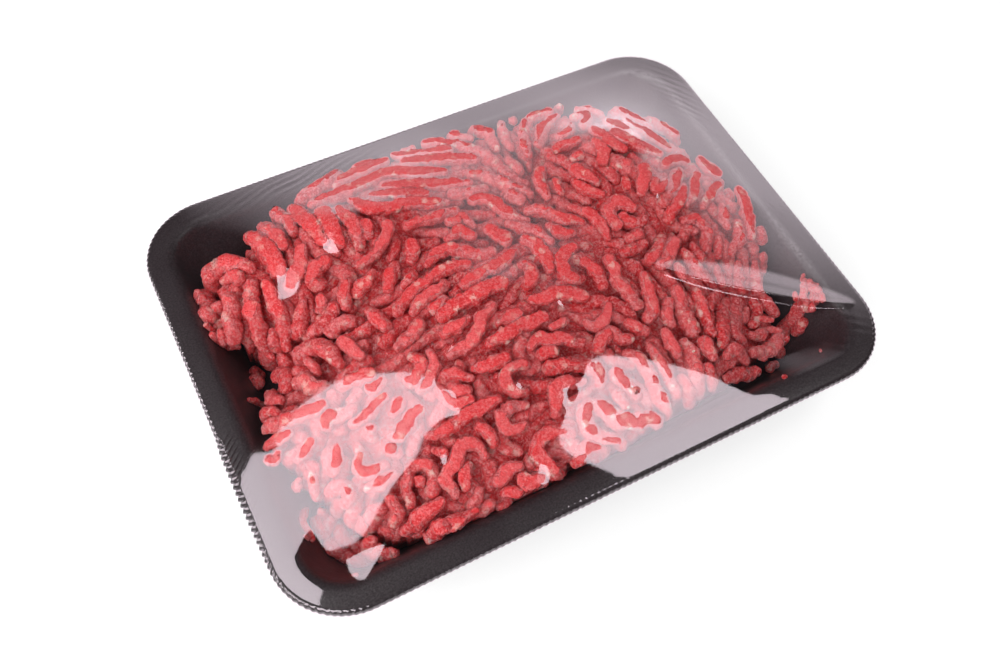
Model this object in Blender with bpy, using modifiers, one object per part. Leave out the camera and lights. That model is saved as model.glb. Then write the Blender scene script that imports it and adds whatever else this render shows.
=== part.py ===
"""Meat tray pack: minced beef on a black foam tray, wrapped in clear stretch film.

The pack stands on the lapped seam of film under its base.  The origin is at the middle
of that underside, X runs along the tray, Y across it and Z up.  Lengths are in metres.
"""

import functools
import math

import bmesh
import bpy
from mathutils import Vector, noise

# Foam tray: one thermoformed sheet of even thickness.
RIM_LENGTH = 0.220
RIM_WIDTH = 0.162
RIM_CORNER = 0.0241
TRAY_DEPTH = 0.030
FOAM = 0.004
FLANGE = 0.0095
WALL_RUN = 0.0115
FOOT_CORNER = 0.012
BREAK_ROUND = 0.003
FOOT_ROUND = 0.004
EDGE_ROUND = 0.0018

# Stretch film and the lap that closes it under the base.
FILM = 0.0003
GAP = 0.0003
MERGE = 0.00001
SEARCH_ROUNDS = 24
CUTTER_MARGIN = 0.005
LAP_LENGTH = 0.132
LAP_WIDTH = 0.090
LAP_MARGIN = 0.014
FILM_LIFT = 0.0013
FILM_FEEL = 0.003
FILM_ROUNDS = 400
FILM_PARTS = (1.0, 0.978, 0.94, 0.88, 0.80, 0.70, 0.58, 0.44, 0.29, 0.14)

# Levels above the surface that the pack stands on.
FILM_FLOOR = FILM + GAP
TRAY_FLOOR = FILM_FLOOR + FILM + GAP
RIM_LEVEL = TRAY_FLOOR + TRAY_DEPTH

# Steps round each loop on a long side, a short side and a corner.
LONG_STEPS = 14
SHORT_STEPS = 10
CORNER_STEPS = 8

# Minced beef: a strand's thickness, and the clearance under the heap.
STRAND = 0.005
HEAP_CLEAR = 0.0006
HEAP_POINTS = 84
EDGE_STEPS = 12
HEAP_FULLNESS = 5.0
LUMP_SIZE = 0.011
LUMP_HEIGHT = 0.0011
LUMP_SPREAD = 0.0010
EDGE_SEED = 7.0
TOP_SEED = 3.0
HEAP_CORE = 0.5
HEAP_PARTS = (0.985, 0.95, 0.90, 0.83, 0.74, 0.64, 0.53, 0.41, 0.28, 0.14)

# The heap's edge anticlockwise from the right end: x, y, and its level over the rim.
HEAP_EDGE = [
    (0.0995, 0.0040, 0.006), (0.0970, 0.0150, 0.006), (0.0910, 0.0270, 0.006),
    (0.0865, 0.0400, 0.005), (0.0780, 0.0520, 0.004), (0.0560, 0.0670, 0.003),
    (0.0380, 0.0705, 0.001), (0.0190, 0.0700, 0.003), (-0.0080, 0.0735, 0.004),
    (-0.0300, 0.0735, 0.004), (-0.0500, 0.0680, 0.003), (-0.0700, 0.0620, 0.006),
    (-0.0800, 0.0560, 0.004), (-0.0900, 0.0545, 0.001), (-0.0955, 0.0470, -0.001),
    (-0.0960, 0.0350, -0.002), (-0.0990, 0.0240, 0.000), (-0.0900, 0.0170, -0.010),
    (-0.0890, 0.0080, -0.016), (-0.0940, -0.0010, -0.009), (-0.0990, -0.0170, 0.000),
    (-0.0995, -0.0270, 0.001), (-0.0935, -0.0400, -0.004), (-0.0875, -0.0550, -0.009),
    (-0.0770, -0.0675, -0.004), (-0.0620, -0.0715, 0.000), (-0.0480, -0.0760, 0.001),
    (-0.0230, -0.0775, 0.002), (-0.0120, -0.0725, 0.001), (0.0070, -0.0740, 0.001),
    (0.0200, -0.0715, -0.001), (0.0330, -0.0670, -0.006), (0.0560, -0.0650, -0.010),
    (0.0740, -0.0620, -0.014), (0.0865, -0.0545, -0.015), (0.0925, -0.0470, -0.012),
    (0.0880, -0.0360, -0.016), (0.0935, -0.0280, -0.003), (0.0960, -0.0180, 0.003),
    (0.0980, -0.0060, 0.005),
]

# Swells of the heap over its mean level: x, y, half length, half width, turn in degrees, rise.
HEAP_LEVEL = 0.004
HEAP_SWELLS = {
    "pressed_ridge": (-0.042, 0.043, 0.050, 0.021, 8.0, 0.0125),
    "middle": (-0.008, -0.006, 0.052, 0.032, -6.0, 0.0120),
    "far_mound": (0.060, 0.028, 0.034, 0.030, -25.0, 0.0125),
    "front_lobe": (-0.036, -0.046, 0.040, 0.020, 0.0, 0.0050),
    "valley": (0.022, 0.048, 0.008, 0.022, -20.0, -0.0060),
    "right_end": (0.084, -0.044, 0.022, 0.018, -30.0, -0.0120),
    "left_gap": (-0.096, 0.008, 0.010, 0.011, 0.0, -0.0070),
    "left_corner": (-0.096, -0.050, 0.016, 0.016, 45.0, -0.0050),
}

# Loose clump of mince that lies by itself on the end wall.
CLUMP_PLACE = (0.0985, -0.0475)
CLUMP_LENGTH = 0.0150
CLUMP_WIDTH = 0.0095
CLUMP_HEIGHT = 0.0050
CLUMP_SEAT = 0.6
CLUMP_GRAIN = 0.18
CLUMP_LUMPS = 4.0

COLOURS = {
    "tray": ("foam_black", (0.030, 0.024, 0.027), 0.45, 1.0),
    "mince": ("beef_red", (0.47, 0.060, 0.070), 0.40, 1.0),
    "loose_clump": ("beef_red", (0.47, 0.060, 0.070), 0.40, 1.0),
    "film": ("film_clear", (0.90, 0.90, 0.92), 0.05, 0.25),
    "film_lap": ("film_clear", (0.90, 0.90, 0.92), 0.05, 0.25),
}


def clear_scene():
    """Remove every object that the file opens with."""
    for obj in list(bpy.data.objects):
        bpy.data.objects.remove(obj, do_unlink=True)


def material(name, colour, roughness, alpha):
    """Return the named Principled material, made on first use."""
    found = bpy.data.materials.get(name)
    if found:
        return found
    made = bpy.data.materials.new(name)
    made.use_nodes = True
    shader = made.node_tree.nodes["Principled BSDF"]
    shader.inputs["Base Color"].default_value = (*colour, 1.0)
    shader.inputs["Roughness"].default_value = roughness
    shader.inputs["Metallic"].default_value = 0.0
    shader.inputs["Alpha"].default_value = alpha
    return made


def corner_radius(inset):
    """Return the corner radius of the loop that lies `inset` in from the rim's edge."""
    return max(RIM_CORNER - inset, FOOT_CORNER)


def rounded_loop(half_length, half_width, radius, height):
    """Return one anticlockwise loop of a rectangle with round corners."""
    points = []
    corners = [(1, 1, 0.0), (-1, 1, 90.0), (-1, -1, 180.0), (1, -1, 270.0)]
    straights = [LONG_STEPS, SHORT_STEPS, LONG_STEPS, SHORT_STEPS]
    for (side_x, side_y, start), steps in zip(corners, straights):
        middle = Vector((side_x * (half_length - radius), side_y * (half_width - radius), height))
        for step in range(CORNER_STEPS + 1):
            turn = math.radians(start + 90.0 * step / CORNER_STEPS)
            points.append(middle + radius * Vector((math.cos(turn), math.sin(turn), 0.0)))
        run = Vector((math.cos(turn + math.pi / 2), math.sin(turn + math.pi / 2), 0.0))
        straight = 2.0 * (half_length if steps == LONG_STEPS else half_width) - 2.0 * radius
        last = points[-1]
        for step in range(1, steps):
            points.append(last + run * (straight * step / steps))
    return points


def tray_loop(inset, height):
    """Return the loop round the tray that lies `inset` in from the rim's edge."""
    return rounded_loop(RIM_LENGTH / 2 - inset, RIM_WIDTH / 2 - inset, corner_radius(inset), height)


def rounded_corner(before, corner, after, reach, steps):
    """Return points of the curve that rounds off a corner of a profile."""
    start = corner + (before - corner).normalized() * reach
    end = corner + (after - corner).normalized() * reach
    points = []
    for step in range(steps + 1):
        part = step / steps
        points.append(start.lerp(corner, part).lerp(corner.lerp(end, part), part))
    return points


@functools.cache
def tray_profile():
    """Return (inset, height) down the tray's inner face, from the rim's edge to the floor."""
    edge = Vector((0.0, RIM_LEVEL))
    brink = Vector((FLANGE, RIM_LEVEL))
    foot = Vector((FLANGE + WALL_RUN, TRAY_FLOOR + FOAM))
    floor = Vector((FLANGE + WALL_RUN + FOOT_ROUND * 2, TRAY_FLOOR + FOAM))
    profile = [edge]
    profile += rounded_corner(edge, brink, foot, BREAK_ROUND, 2)
    profile += rounded_corner(brink, foot, floor, FOOT_ROUND, 2)
    return profile


def inset_at(x, y):
    """Return how far in from the rim's edge the plan position (x, y) lies."""
    low = 0.0
    high = RIM_WIDTH / 2
    for _ in range(SEARCH_ROUNDS):
        inset = (low + high) / 2
        radius = corner_radius(inset)
        over_x = abs(x) - (RIM_LENGTH / 2 - inset - radius)
        over_y = abs(y) - (RIM_WIDTH / 2 - inset - radius)
        reach = math.hypot(max(over_x, 0.0), max(over_y, 0.0)) + min(max(over_x, over_y), 0.0)
        if reach < radius:
            low = inset
        else:
            high = inset
    return low


def tray_top(x, y):
    """Return the height of the tray's inner face at the plan position (x, y)."""
    inset = inset_at(x, y)
    profile = tray_profile()
    for outer, inner in zip(profile, profile[1:]):
        if inset <= inner.x:
            part = (inset - outer.x) / max(inner.x - outer.x, 1e-9)
            return outer.y + (inner.y - outer.y) * max(part, 0.0)
    return profile[-1].y


def smooth_loop(knots, steps):
    """Return points of the smooth closed curve through the knots, `steps` to a span."""
    points = []
    count = len(knots)
    for index in range(count):
        before, start, end, after = (Vector(knots[(index + shift) % count]) for shift in (-1, 0, 1, 2))
        for step in range(steps):
            t = step / steps
            points.append(0.5 * (2 * start + (end - before) * t
                                 + (2 * before - 5 * start + 4 * end - after) * t ** 2
                                 + (3 * start - before - 3 * end + after) * t ** 3))
    return points


def edge_by_bearing():
    """Return the heap's edge points at even bearings round the middle of the tray."""
    curve = smooth_loop(HEAP_EDGE, EDGE_STEPS)
    edge = []
    for index in range(HEAP_POINTS):
        wanted = math.tau * index / HEAP_POINTS
        for start, end in zip(curve, curve[1:] + curve[:1]):
            here = math.atan2(start.y, start.x)
            span = (math.atan2(end.y, end.x) - here) % math.tau
            turned = (wanted - here) % math.tau
            if turned <= span < math.pi:
                edge.append(start.lerp(end, turned / max(span, 1e-9)))
                break
    return edge


def swell_height(x, y):
    """Return the heap's level over the rim at (x, y), before its edge falls away."""
    level = HEAP_LEVEL
    for middle_x, middle_y, half_length, half_width, turn, rise in HEAP_SWELLS.values():
        cosine = math.cos(math.radians(turn))
        sine = math.sin(math.radians(turn))
        along = ((x - middle_x) * cosine + (y - middle_y) * sine) / half_length
        across = ((y - middle_y) * cosine - (x - middle_x) * sine) / half_width
        level += rise * math.exp(-along ** 2 - across ** 2)
    return level


def lump(x, y, seed):
    """Return a smooth value of about -1 to 1 that changes every lump of mince."""
    return 2.0 * noise.noise(Vector((x / LUMP_SIZE, y / LUMP_SIZE, seed)))


class Heap:
    """The heap of minced beef: its edge on the tray and its uneven top."""

    def __init__(self):
        self.reaches = []
        self.levels = []
        for point in edge_by_bearing():
            self.reaches.append(math.hypot(point.x, point.y) + LUMP_SPREAD * lump(point.x, point.y, EDGE_SEED))
            lowest = tray_top(point.x, point.y) + HEAP_CLEAR + STRAND / 2
            self.levels.append(max(RIM_LEVEL + point.z, lowest))

    def place(self, index, part):
        """Return the plan position at part of the reach on the indexed bearing."""
        turn = math.tau * index / HEAP_POINTS
        reach = self.reaches[index] * part
        return reach * math.cos(turn), reach * math.sin(turn)

    def edge_towards(self, x, y):
        """Return the heap's reach and its edge's level on the bearing of (x, y)."""
        index = (math.atan2(y, x) % math.tau) / math.tau * HEAP_POINTS
        here = int(index) % HEAP_POINTS
        there = (here + 1) % HEAP_POINTS
        part = index - int(index)
        reach = self.reaches[here] * (1.0 - part) + self.reaches[there] * part
        level = self.levels[here] * (1.0 - part) + self.levels[there] * part
        return reach, level

    def top(self, x, y):
        """Return the height of the heap's top at (x, y), or nothing outside its edge."""
        reach, level = self.edge_towards(x, y)
        part = math.hypot(x, y) / reach
        if part > 1.0:
            return None
        crest = RIM_LEVEL + swell_height(x, y) + LUMP_HEIGHT * lump(x, y, TOP_SEED)
        return level + (crest - level) * math.sqrt(1.0 - part ** HEAP_FULLNESS)


def loft(name, loops, closed_start, closed_end):
    """Return a mesh of quads between loops of equal count, ends closed by fans or left open.

    Args:
        name: The mesh's name.
        loops: Loops of points, each anticlockwise seen from outside the last one.
        closed_start: The point that closes the first loop, or None.
        closed_end: The point that closes the last loop, or None.
    """
    mesh = bmesh.new()
    rows = [[mesh.verts.new(point) for point in loop] for loop in loops]
    count = len(loops[0])
    for lower, upper in zip(rows, rows[1:]):
        for index in range(count):
            following = (index + 1) % count
            mesh.faces.new((lower[index], lower[following], upper[following], upper[index]))
    for point, row, flipped in ((closed_start, rows[0], True), (closed_end, rows[-1], False)):
        if point is None:
            continue
        tip = mesh.verts.new(point)
        for index in range(count):
            pair = (row[index], row[(index + 1) % count])
            mesh.faces.new((*reversed(pair), tip) if flipped else (*pair, tip))
    data = bpy.data.meshes.new(name)
    mesh.to_mesh(data)
    mesh.free()
    return data


def add_part(collection, name, data, smooth_angle=50.0):
    """Return the named object of the mesh, smooth and with its own material."""
    obj = bpy.data.objects.new(name, data)
    collection.objects.link(obj)
    finish, colour, roughness, alpha = COLOURS[name]
    data.materials.append(material(finish, colour, roughness, alpha))
    data.shade_smooth()
    data.set_sharp_from_angle(angle=math.radians(smooth_angle))
    return obj


def thicken(obj, thickness, offset):
    """Give an open surface its wall."""
    wall = obj.modifiers.new("wall", "SOLIDIFY")
    wall.thickness = thickness
    wall.offset = offset
    wall.use_even_offset = True


def build_tray(collection):
    """Make the foam tray from its inner face, thickened downwards."""
    profile = tray_profile()
    loops = [tray_loop(inset, height) for inset, height in profile]
    floor_inset = RIM_WIDTH / 4
    loops.append(tray_loop(floor_inset, profile[-1].y))
    middle = Vector((0.0, 0.0, profile[-1].y))
    obj = add_part(collection, "tray", loft("tray", loops, None, middle))
    thicken(obj, FOAM, -1.0)
    edge = obj.modifiers.new("edge", "BEVEL")
    edge.width = EDGE_ROUND
    edge.segments = 2
    edge.limit_method = "ANGLE"
    edge.angle_limit = math.radians(60.0)


def build_tray_cutter(collection):
    """Return the ring that takes away what the tray's wall and flange leave no room for."""
    loops = [tray_loop(inset + GAP / 2, height + GAP) for inset, height in reversed(tray_profile())]
    loops.append(tray_loop(-CUTTER_MARGIN, RIM_LEVEL + GAP))
    loops.append(tray_loop(-CUTTER_MARGIN, 0.0))
    loops.append(tray_loop(tray_profile()[-1].x, 0.0))
    loops.append(loops[0])
    data = loft("tray_cutter", loops, None, None)
    mesh = bmesh.new()
    mesh.from_mesh(data)
    bmesh.ops.remove_doubles(mesh, verts=mesh.verts, dist=MERGE)
    bmesh.ops.recalc_face_normals(mesh, faces=mesh.faces)
    mesh.to_mesh(data)
    mesh.free()
    cutter = bpy.data.objects.new("tray_cutter", data)
    cutter.hide_render = True
    cutter.display_type = "WIRE"
    collection.objects.link(cutter)
    return cutter


def build_mince(collection, cutters, heap):
    """Make the heap: a column with a top of soft lumps, fitted to the tray's wall and flange."""
    base = TRAY_FLOOR + FOAM + HEAP_CLEAR
    loops = [[Vector((*heap.place(index, part), base)) for index in range(HEAP_POINTS)]
             for part in (HEAP_CORE, 1.0)]
    loops.append([Vector((*heap.place(index, 1.0), heap.levels[index])) for index in range(HEAP_POINTS)])
    for part in HEAP_PARTS:
        places = [heap.place(index, part) for index in range(HEAP_POINTS)]
        loops.append([Vector((x, y, heap.top(x, y))) for x, y in places])
    bottom = Vector((0.0, 0.0, base))
    top = Vector((0.0, 0.0, heap.top(0.0, 0.0)))
    obj = add_part(collection, "mince", loft("mince", loops, bottom, top), 80.0)
    fit = obj.modifiers.new("fit_to_tray", "BOOLEAN")
    fit.object = build_tray_cutter(cutters)


def build_loose_clump(collection):
    """Make the clump that lies lengthways on the end wall, a squashed and lumpy ball."""
    x, y = CLUMP_PLACE
    slope = math.atan2(TRAY_DEPTH - FOAM, WALL_RUN)
    up_wall = Vector((math.cos(slope), 0.0, math.sin(slope)))
    normal = Vector((-math.sin(slope), 0.0, math.cos(slope)))
    along = normal.cross(up_wall)
    seat = Vector((x, y, tray_top(x, y))) + normal * (CLUMP_HEIGHT * CLUMP_SEAT + GAP)
    mesh = bmesh.new()
    bmesh.ops.create_icosphere(mesh, subdivisions=3, radius=0.5)
    for vertex in mesh.verts:
        size = 1.0 + CLUMP_GRAIN * noise.noise(vertex.co * CLUMP_LUMPS)
        across, length, height = vertex.co * size
        vertex.co = (seat + up_wall * across * CLUMP_WIDTH + along * length * CLUMP_LENGTH
                     + normal * height * CLUMP_HEIGHT)
    data = bpy.data.meshes.new("loose_clump")
    mesh.to_mesh(data)
    mesh.free()
    add_part(collection, "loose_clump", data, 80.0)


def height_under_film(heap, x, y):
    """Return the lowest height at (x, y) at which the film clears the tray and the heap."""
    height = tray_top(x, y) + GAP
    for shift_x, shift_y in ((0, 0), (1, 0), (-1, 0), (0, 1), (0, -1)):
        top = heap.top(x + shift_x * FILM_FEEL, y + shift_y * FILM_FEEL)
        if top is not None:
            height = max(height, top + FILM_LIFT)
    return height


def film_neighbours(places, order, index):
    """Return the film points next to one of them, each with its share of the pull."""
    count = len(places[order])
    around = [(order, (index - 1) % count), (order, (index + 1) % count), (order - 1, index)]
    if order + 1 < len(places):
        around.append((order + 1, index))
    else:
        around.append((order, (index + count // 2) % count))
    pulls = [1.0 / (places[order][index] - places[row][column]).length for row, column in around]
    return [(row, column, pull / sum(pulls)) for (row, column), pull in zip(around, pulls)]


def film_top_loops(heap):
    """Return the film's loops over the heap and its middle point, drawn tight like a skin.

    Each point starts at the lowest height that clears what is under it.  It is then
    raised again and again to the mean of its neighbours, which pulls the film straight
    between the high spots.
    """
    rim = tray_loop(EDGE_ROUND, 0.0)
    places = [[point * part for point in rim] for part in FILM_PARTS]
    floor = [[height_under_film(heap, point.x, point.y) for point in row] for row in places]
    floor[0] = [RIM_LEVEL + GAP] * len(rim)
    heights = [list(row) for row in floor]
    inner = [(order, index, film_neighbours(places, order, index))
             for order in range(1, len(places)) for index in range(len(rim))]
    for _ in range(FILM_ROUNDS):
        for order, index, around in inner:
            pulled = sum(heights[row][column] * share for row, column, share in around)
            heights[order][index] = max(floor[order][index], pulled)
    loops = []
    for row, levels in zip(places, heights):
        loops.append([Vector((point.x, point.y, level)) for point, level in zip(row, levels)])
    return loops, Vector((0.0, 0.0, sum(heights[-1]) / len(rim)))


def film_edge_loops():
    """Return the film's loops round the rim's edge, from its underside to its top."""
    reach = EDGE_ROUND + GAP * 1.5
    loops = []
    for middle, turns in ((FOAM - EDGE_ROUND, (-45.0, 0.0)), (EDGE_ROUND, (0.0, 45.0))):
        for turn in turns:
            inset = EDGE_ROUND - reach * math.cos(math.radians(turn))
            loops.append(tray_loop(inset, RIM_LEVEL - middle + reach * math.sin(math.radians(turn))))
    return loops


def build_film(collection, heap):
    """Make the film: over the heap, round the rim, straight to the foot and under the base."""
    foot_inset = FLANGE + WALL_RUN - FOAM
    opening_length = LAP_LENGTH / 2 - LAP_MARGIN
    opening_width = LAP_WIDTH / 2 - LAP_MARGIN
    level = FILM_FLOOR + FILM
    loops = [rounded_loop(opening_length, opening_width, FOOT_CORNER, level)]
    loops.append(tray_loop(foot_inset + FOOT_ROUND, level))
    loops.append(tray_loop(foot_inset, level + GAP))
    loops += film_edge_loops()
    top_loops, tip = film_top_loops(heap)
    obj = add_part(collection, "film", loft("film", loops + top_loops, None, tip))
    thicken(obj, FILM, 1.0)


def build_film_lap(collection):
    """Make the lap of film that closes the wrap under the base."""
    bpy.ops.mesh.primitive_cube_add(size=1.0, location=(0.0, 0.0, FILM / 2))
    cube = bpy.context.object
    cube.scale = (LAP_LENGTH, LAP_WIDTH, FILM)
    bpy.ops.object.transform_apply(location=True, rotation=False, scale=True)
    data = cube.data
    bpy.data.objects.remove(cube)
    add_part(collection, "film_lap", data)


def main():
    """Build the pack in a collection of its own."""
    clear_scene()
    collection = bpy.data.collections.new("meat_tray_pack")
    cutters = bpy.data.collections.new("cutters")
    for made in (collection, cutters):
        bpy.context.scene.collection.children.link(made)
    heap = Heap()
    build_tray(collection)
    build_mince(collection, cutters, heap)
    build_loose_clump(collection)
    build_film(collection, heap)
    build_film_lap(collection)


main()
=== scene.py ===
"""Looks of a meat tray pack: minced beef on a black foam tray under clear stretch film.

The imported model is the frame.  Every piece is made where the frame's nodes say, in metres,
with +Z up and the pack standing on the floor at zero.
"""

import logging
import math
from dataclasses import dataclass, field
from enum import Enum

import bmesh
import bpy
import numpy as np
from mathutils import Matrix, Vector
from mathutils.bvhtree import BVHTree


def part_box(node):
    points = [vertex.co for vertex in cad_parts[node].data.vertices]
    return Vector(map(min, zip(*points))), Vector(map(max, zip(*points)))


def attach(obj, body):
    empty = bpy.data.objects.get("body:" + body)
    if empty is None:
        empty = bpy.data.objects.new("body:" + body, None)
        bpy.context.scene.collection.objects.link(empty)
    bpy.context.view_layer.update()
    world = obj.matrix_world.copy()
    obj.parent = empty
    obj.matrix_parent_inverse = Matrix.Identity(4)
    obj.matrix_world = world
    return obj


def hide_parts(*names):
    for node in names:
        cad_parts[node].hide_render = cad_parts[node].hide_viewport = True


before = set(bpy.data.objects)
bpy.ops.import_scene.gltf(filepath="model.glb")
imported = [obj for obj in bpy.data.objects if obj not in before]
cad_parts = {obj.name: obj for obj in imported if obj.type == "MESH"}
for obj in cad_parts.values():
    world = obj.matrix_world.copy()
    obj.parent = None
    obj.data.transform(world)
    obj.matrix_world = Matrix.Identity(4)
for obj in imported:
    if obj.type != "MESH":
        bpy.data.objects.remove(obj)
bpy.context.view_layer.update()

BODY = "root"
MM = 0.001

Piece = bpy.types.Object
Socket = bpy.types.NodeSocket
Array = np.ndarray
Section = list[tuple[float, float]]

log = logging.getLogger("meat_tray_pack")


class Slot(Enum):
    """The materials that can be swapped for others."""

    BEEF = "beef"
    FOAM = "foam"
    FILM = "film"


# ---- small helpers


def deselect_all() -> None:
    """Go to object mode with nothing selected."""
    if bpy.context.object and bpy.context.object.mode != "OBJECT":
        bpy.ops.object.mode_set(mode="OBJECT")
    bpy.ops.object.select_all(action="DESELECT")


def activate(piece: Piece) -> None:
    """Make the piece the only selected object and the active one.

    Args:
        piece: The piece.
    """
    deselect_all()
    piece.select_set(True)
    bpy.context.view_layer.objects.active = piece


def edit(on: bool = True) -> None:
    """Enter or leave edit mode."""
    bpy.ops.object.mode_set(mode="EDIT" if on else "OBJECT")


def coordinates(piece: Piece) -> Array:
    """Return the piece's vertices as rows of x, y, z.

    Args:
        piece: The piece.

    Returns:
        One row for each vertex.
    """
    flat = np.empty(len(piece.data.vertices) * 3)
    piece.data.vertices.foreach_get("co", flat)
    return flat.reshape(-1, 3)


def set_coordinates(piece: Piece, points: Array) -> None:
    """Move the piece's vertices to the rows of x, y, z."""
    piece.data.vertices.foreach_set("co", np.ascontiguousarray(points, dtype=np.float32).ravel())
    piece.data.update()


def set_attribute(piece: Piece, name: str, values: Array | float) -> None:
    """Store one number for each vertex under a name that a material can read."""
    layer = piece.data.attributes.get(name) or piece.data.attributes.new(name, "FLOAT", "POINT")
    layer.data.foreach_set("value", np.full(len(layer.data), values, dtype=np.float32))


def choose_vertices(piece: Piece, chosen: Array) -> None:
    """Enter edit mode with only these vertices selected.

    Args:
        piece: The piece.
        chosen: Whether each vertex is chosen.
    """
    activate(piece)
    piece.data.polygons.foreach_set("select", np.zeros(len(piece.data.polygons), bool))
    piece.data.edges.foreach_set("select", np.zeros(len(piece.data.edges), bool))
    piece.data.vertices.foreach_set("select", chosen)
    edit()
    bpy.ops.mesh.select_mode(type="VERT")


def choose_border() -> None:
    """In edit mode, choose the open edges."""
    bpy.ops.mesh.select_non_manifold(extend=False, use_wire=False, use_boundary=True,
                                     use_multi_face=False, use_non_contiguous=False, use_verts=False)


def face_outwards(piece: Piece) -> None:
    """Point all faces of a piece outwards and shade it smooth.

    Args:
        piece: The piece, which leaves edit mode.
    """
    activate(piece)
    edit()
    bpy.ops.mesh.select_all(action="SELECT")
    bpy.ops.mesh.normals_make_consistent(inside=False)
    edit(False)
    piece.data.shade_smooth()


def plan_sheet(name: str, half_x: float, half_y: float, step: float) -> Piece:
    """Model a flat even grid.

    Args:
        name: The piece's name.
        half_x: Half of its length.
        half_y: Half of its width.
        step: The distance between its lines.

    Returns:
        The piece, flat at height zero.
    """
    deselect_all()
    bpy.ops.mesh.primitive_grid_add(x_subdivisions=int(2.0 * half_x / step),
                                    y_subdivisions=int(2.0 * half_y / step), size=2.0)
    sheet = bpy.context.object
    sheet.name = name
    sheet.scale = (half_x, half_y, 1.0)
    bpy.ops.object.transform_apply(location=False, rotation=False, scale=True)
    return sheet


def mesh_piece(name: str, points: Array, faces: Array) -> Piece:
    """Return a new object of joined copies.

    Args:
        name: The piece's name.
        points: Rows of x, y, z.
        faces: Rows of three or four vertex numbers, all of the same count.

    Returns:
        The object.
    """
    data = bpy.data.meshes.new(name)
    data.vertices.add(len(points))
    data.vertices.foreach_set("co", np.ascontiguousarray(points, dtype=np.float32).ravel())
    sides = faces.shape[1]
    data.loops.add(faces.size)
    data.loops.foreach_set("vertex_index", np.ascontiguousarray(faces, dtype=np.int32).ravel())
    data.polygons.add(len(faces))
    data.polygons.foreach_set("loop_start", np.arange(0, faces.size, sides, dtype=np.int32))
    data.update(calc_edges=True)
    data.validate()
    piece = bpy.data.objects.new(name, data)
    bpy.context.scene.collection.objects.link(piece)
    return piece


def settle(piece: Piece, material: bpy.types.Material, slot: Slot, *nodes: str) -> None:
    """Dress a finished piece, let it ride on the pack, and hide the frame's nodes that it stands for.

    Args:
        piece: The finished piece.
        material: Its finish.
        slot: The finish's slot; not used.
        nodes: The frame's nodes that it stands for.
    """
    piece.data.materials.clear()
    piece.data.materials.append(material)
    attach(piece, BODY)
    if nodes:
        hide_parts(*nodes)
    log.info("%s: %d vertices", piece.name, len(piece.data.vertices))


class ValueNoise:
    """Smooth seeded noise of about -1 to 1 on any number of points at once."""

    def __init__(self, seed: int, size: int = 48) -> None:
        """Fill the lattice with even random values."""
        self.size = size
        self.lattice = np.random.default_rng(seed).uniform(-1.0, 1.0, (size, size, size))

    def at(self, points: Array) -> Array:
        """Return the noise at rows of x, y, z, whose lumps are one unit across.

        Args:
            points: Rows of x, y, z.

        Returns:
            One number for each row.
        """
        base = np.floor(points).astype(int)
        part = points - base
        part = part * part * (3.0 - 2.0 * part)
        total = np.zeros(len(points))
        for corner in np.ndindex(2, 2, 2):
            index = (base + corner) % self.size
            weight = np.prod(np.where(np.array(corner) == 1, part, 1.0 - part), axis=1)
            total += weight * self.lattice[index[:, 0], index[:, 1], index[:, 2]]
        return total


def spread(x: Array, y: Array, lump: float) -> Array:
    """Return rows of x, y, 0 for noise whose lumps are this wide in plan."""
    return np.column_stack([np.ravel(x) / lump, np.ravel(y) / lump, np.zeros(np.size(x))])


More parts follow.
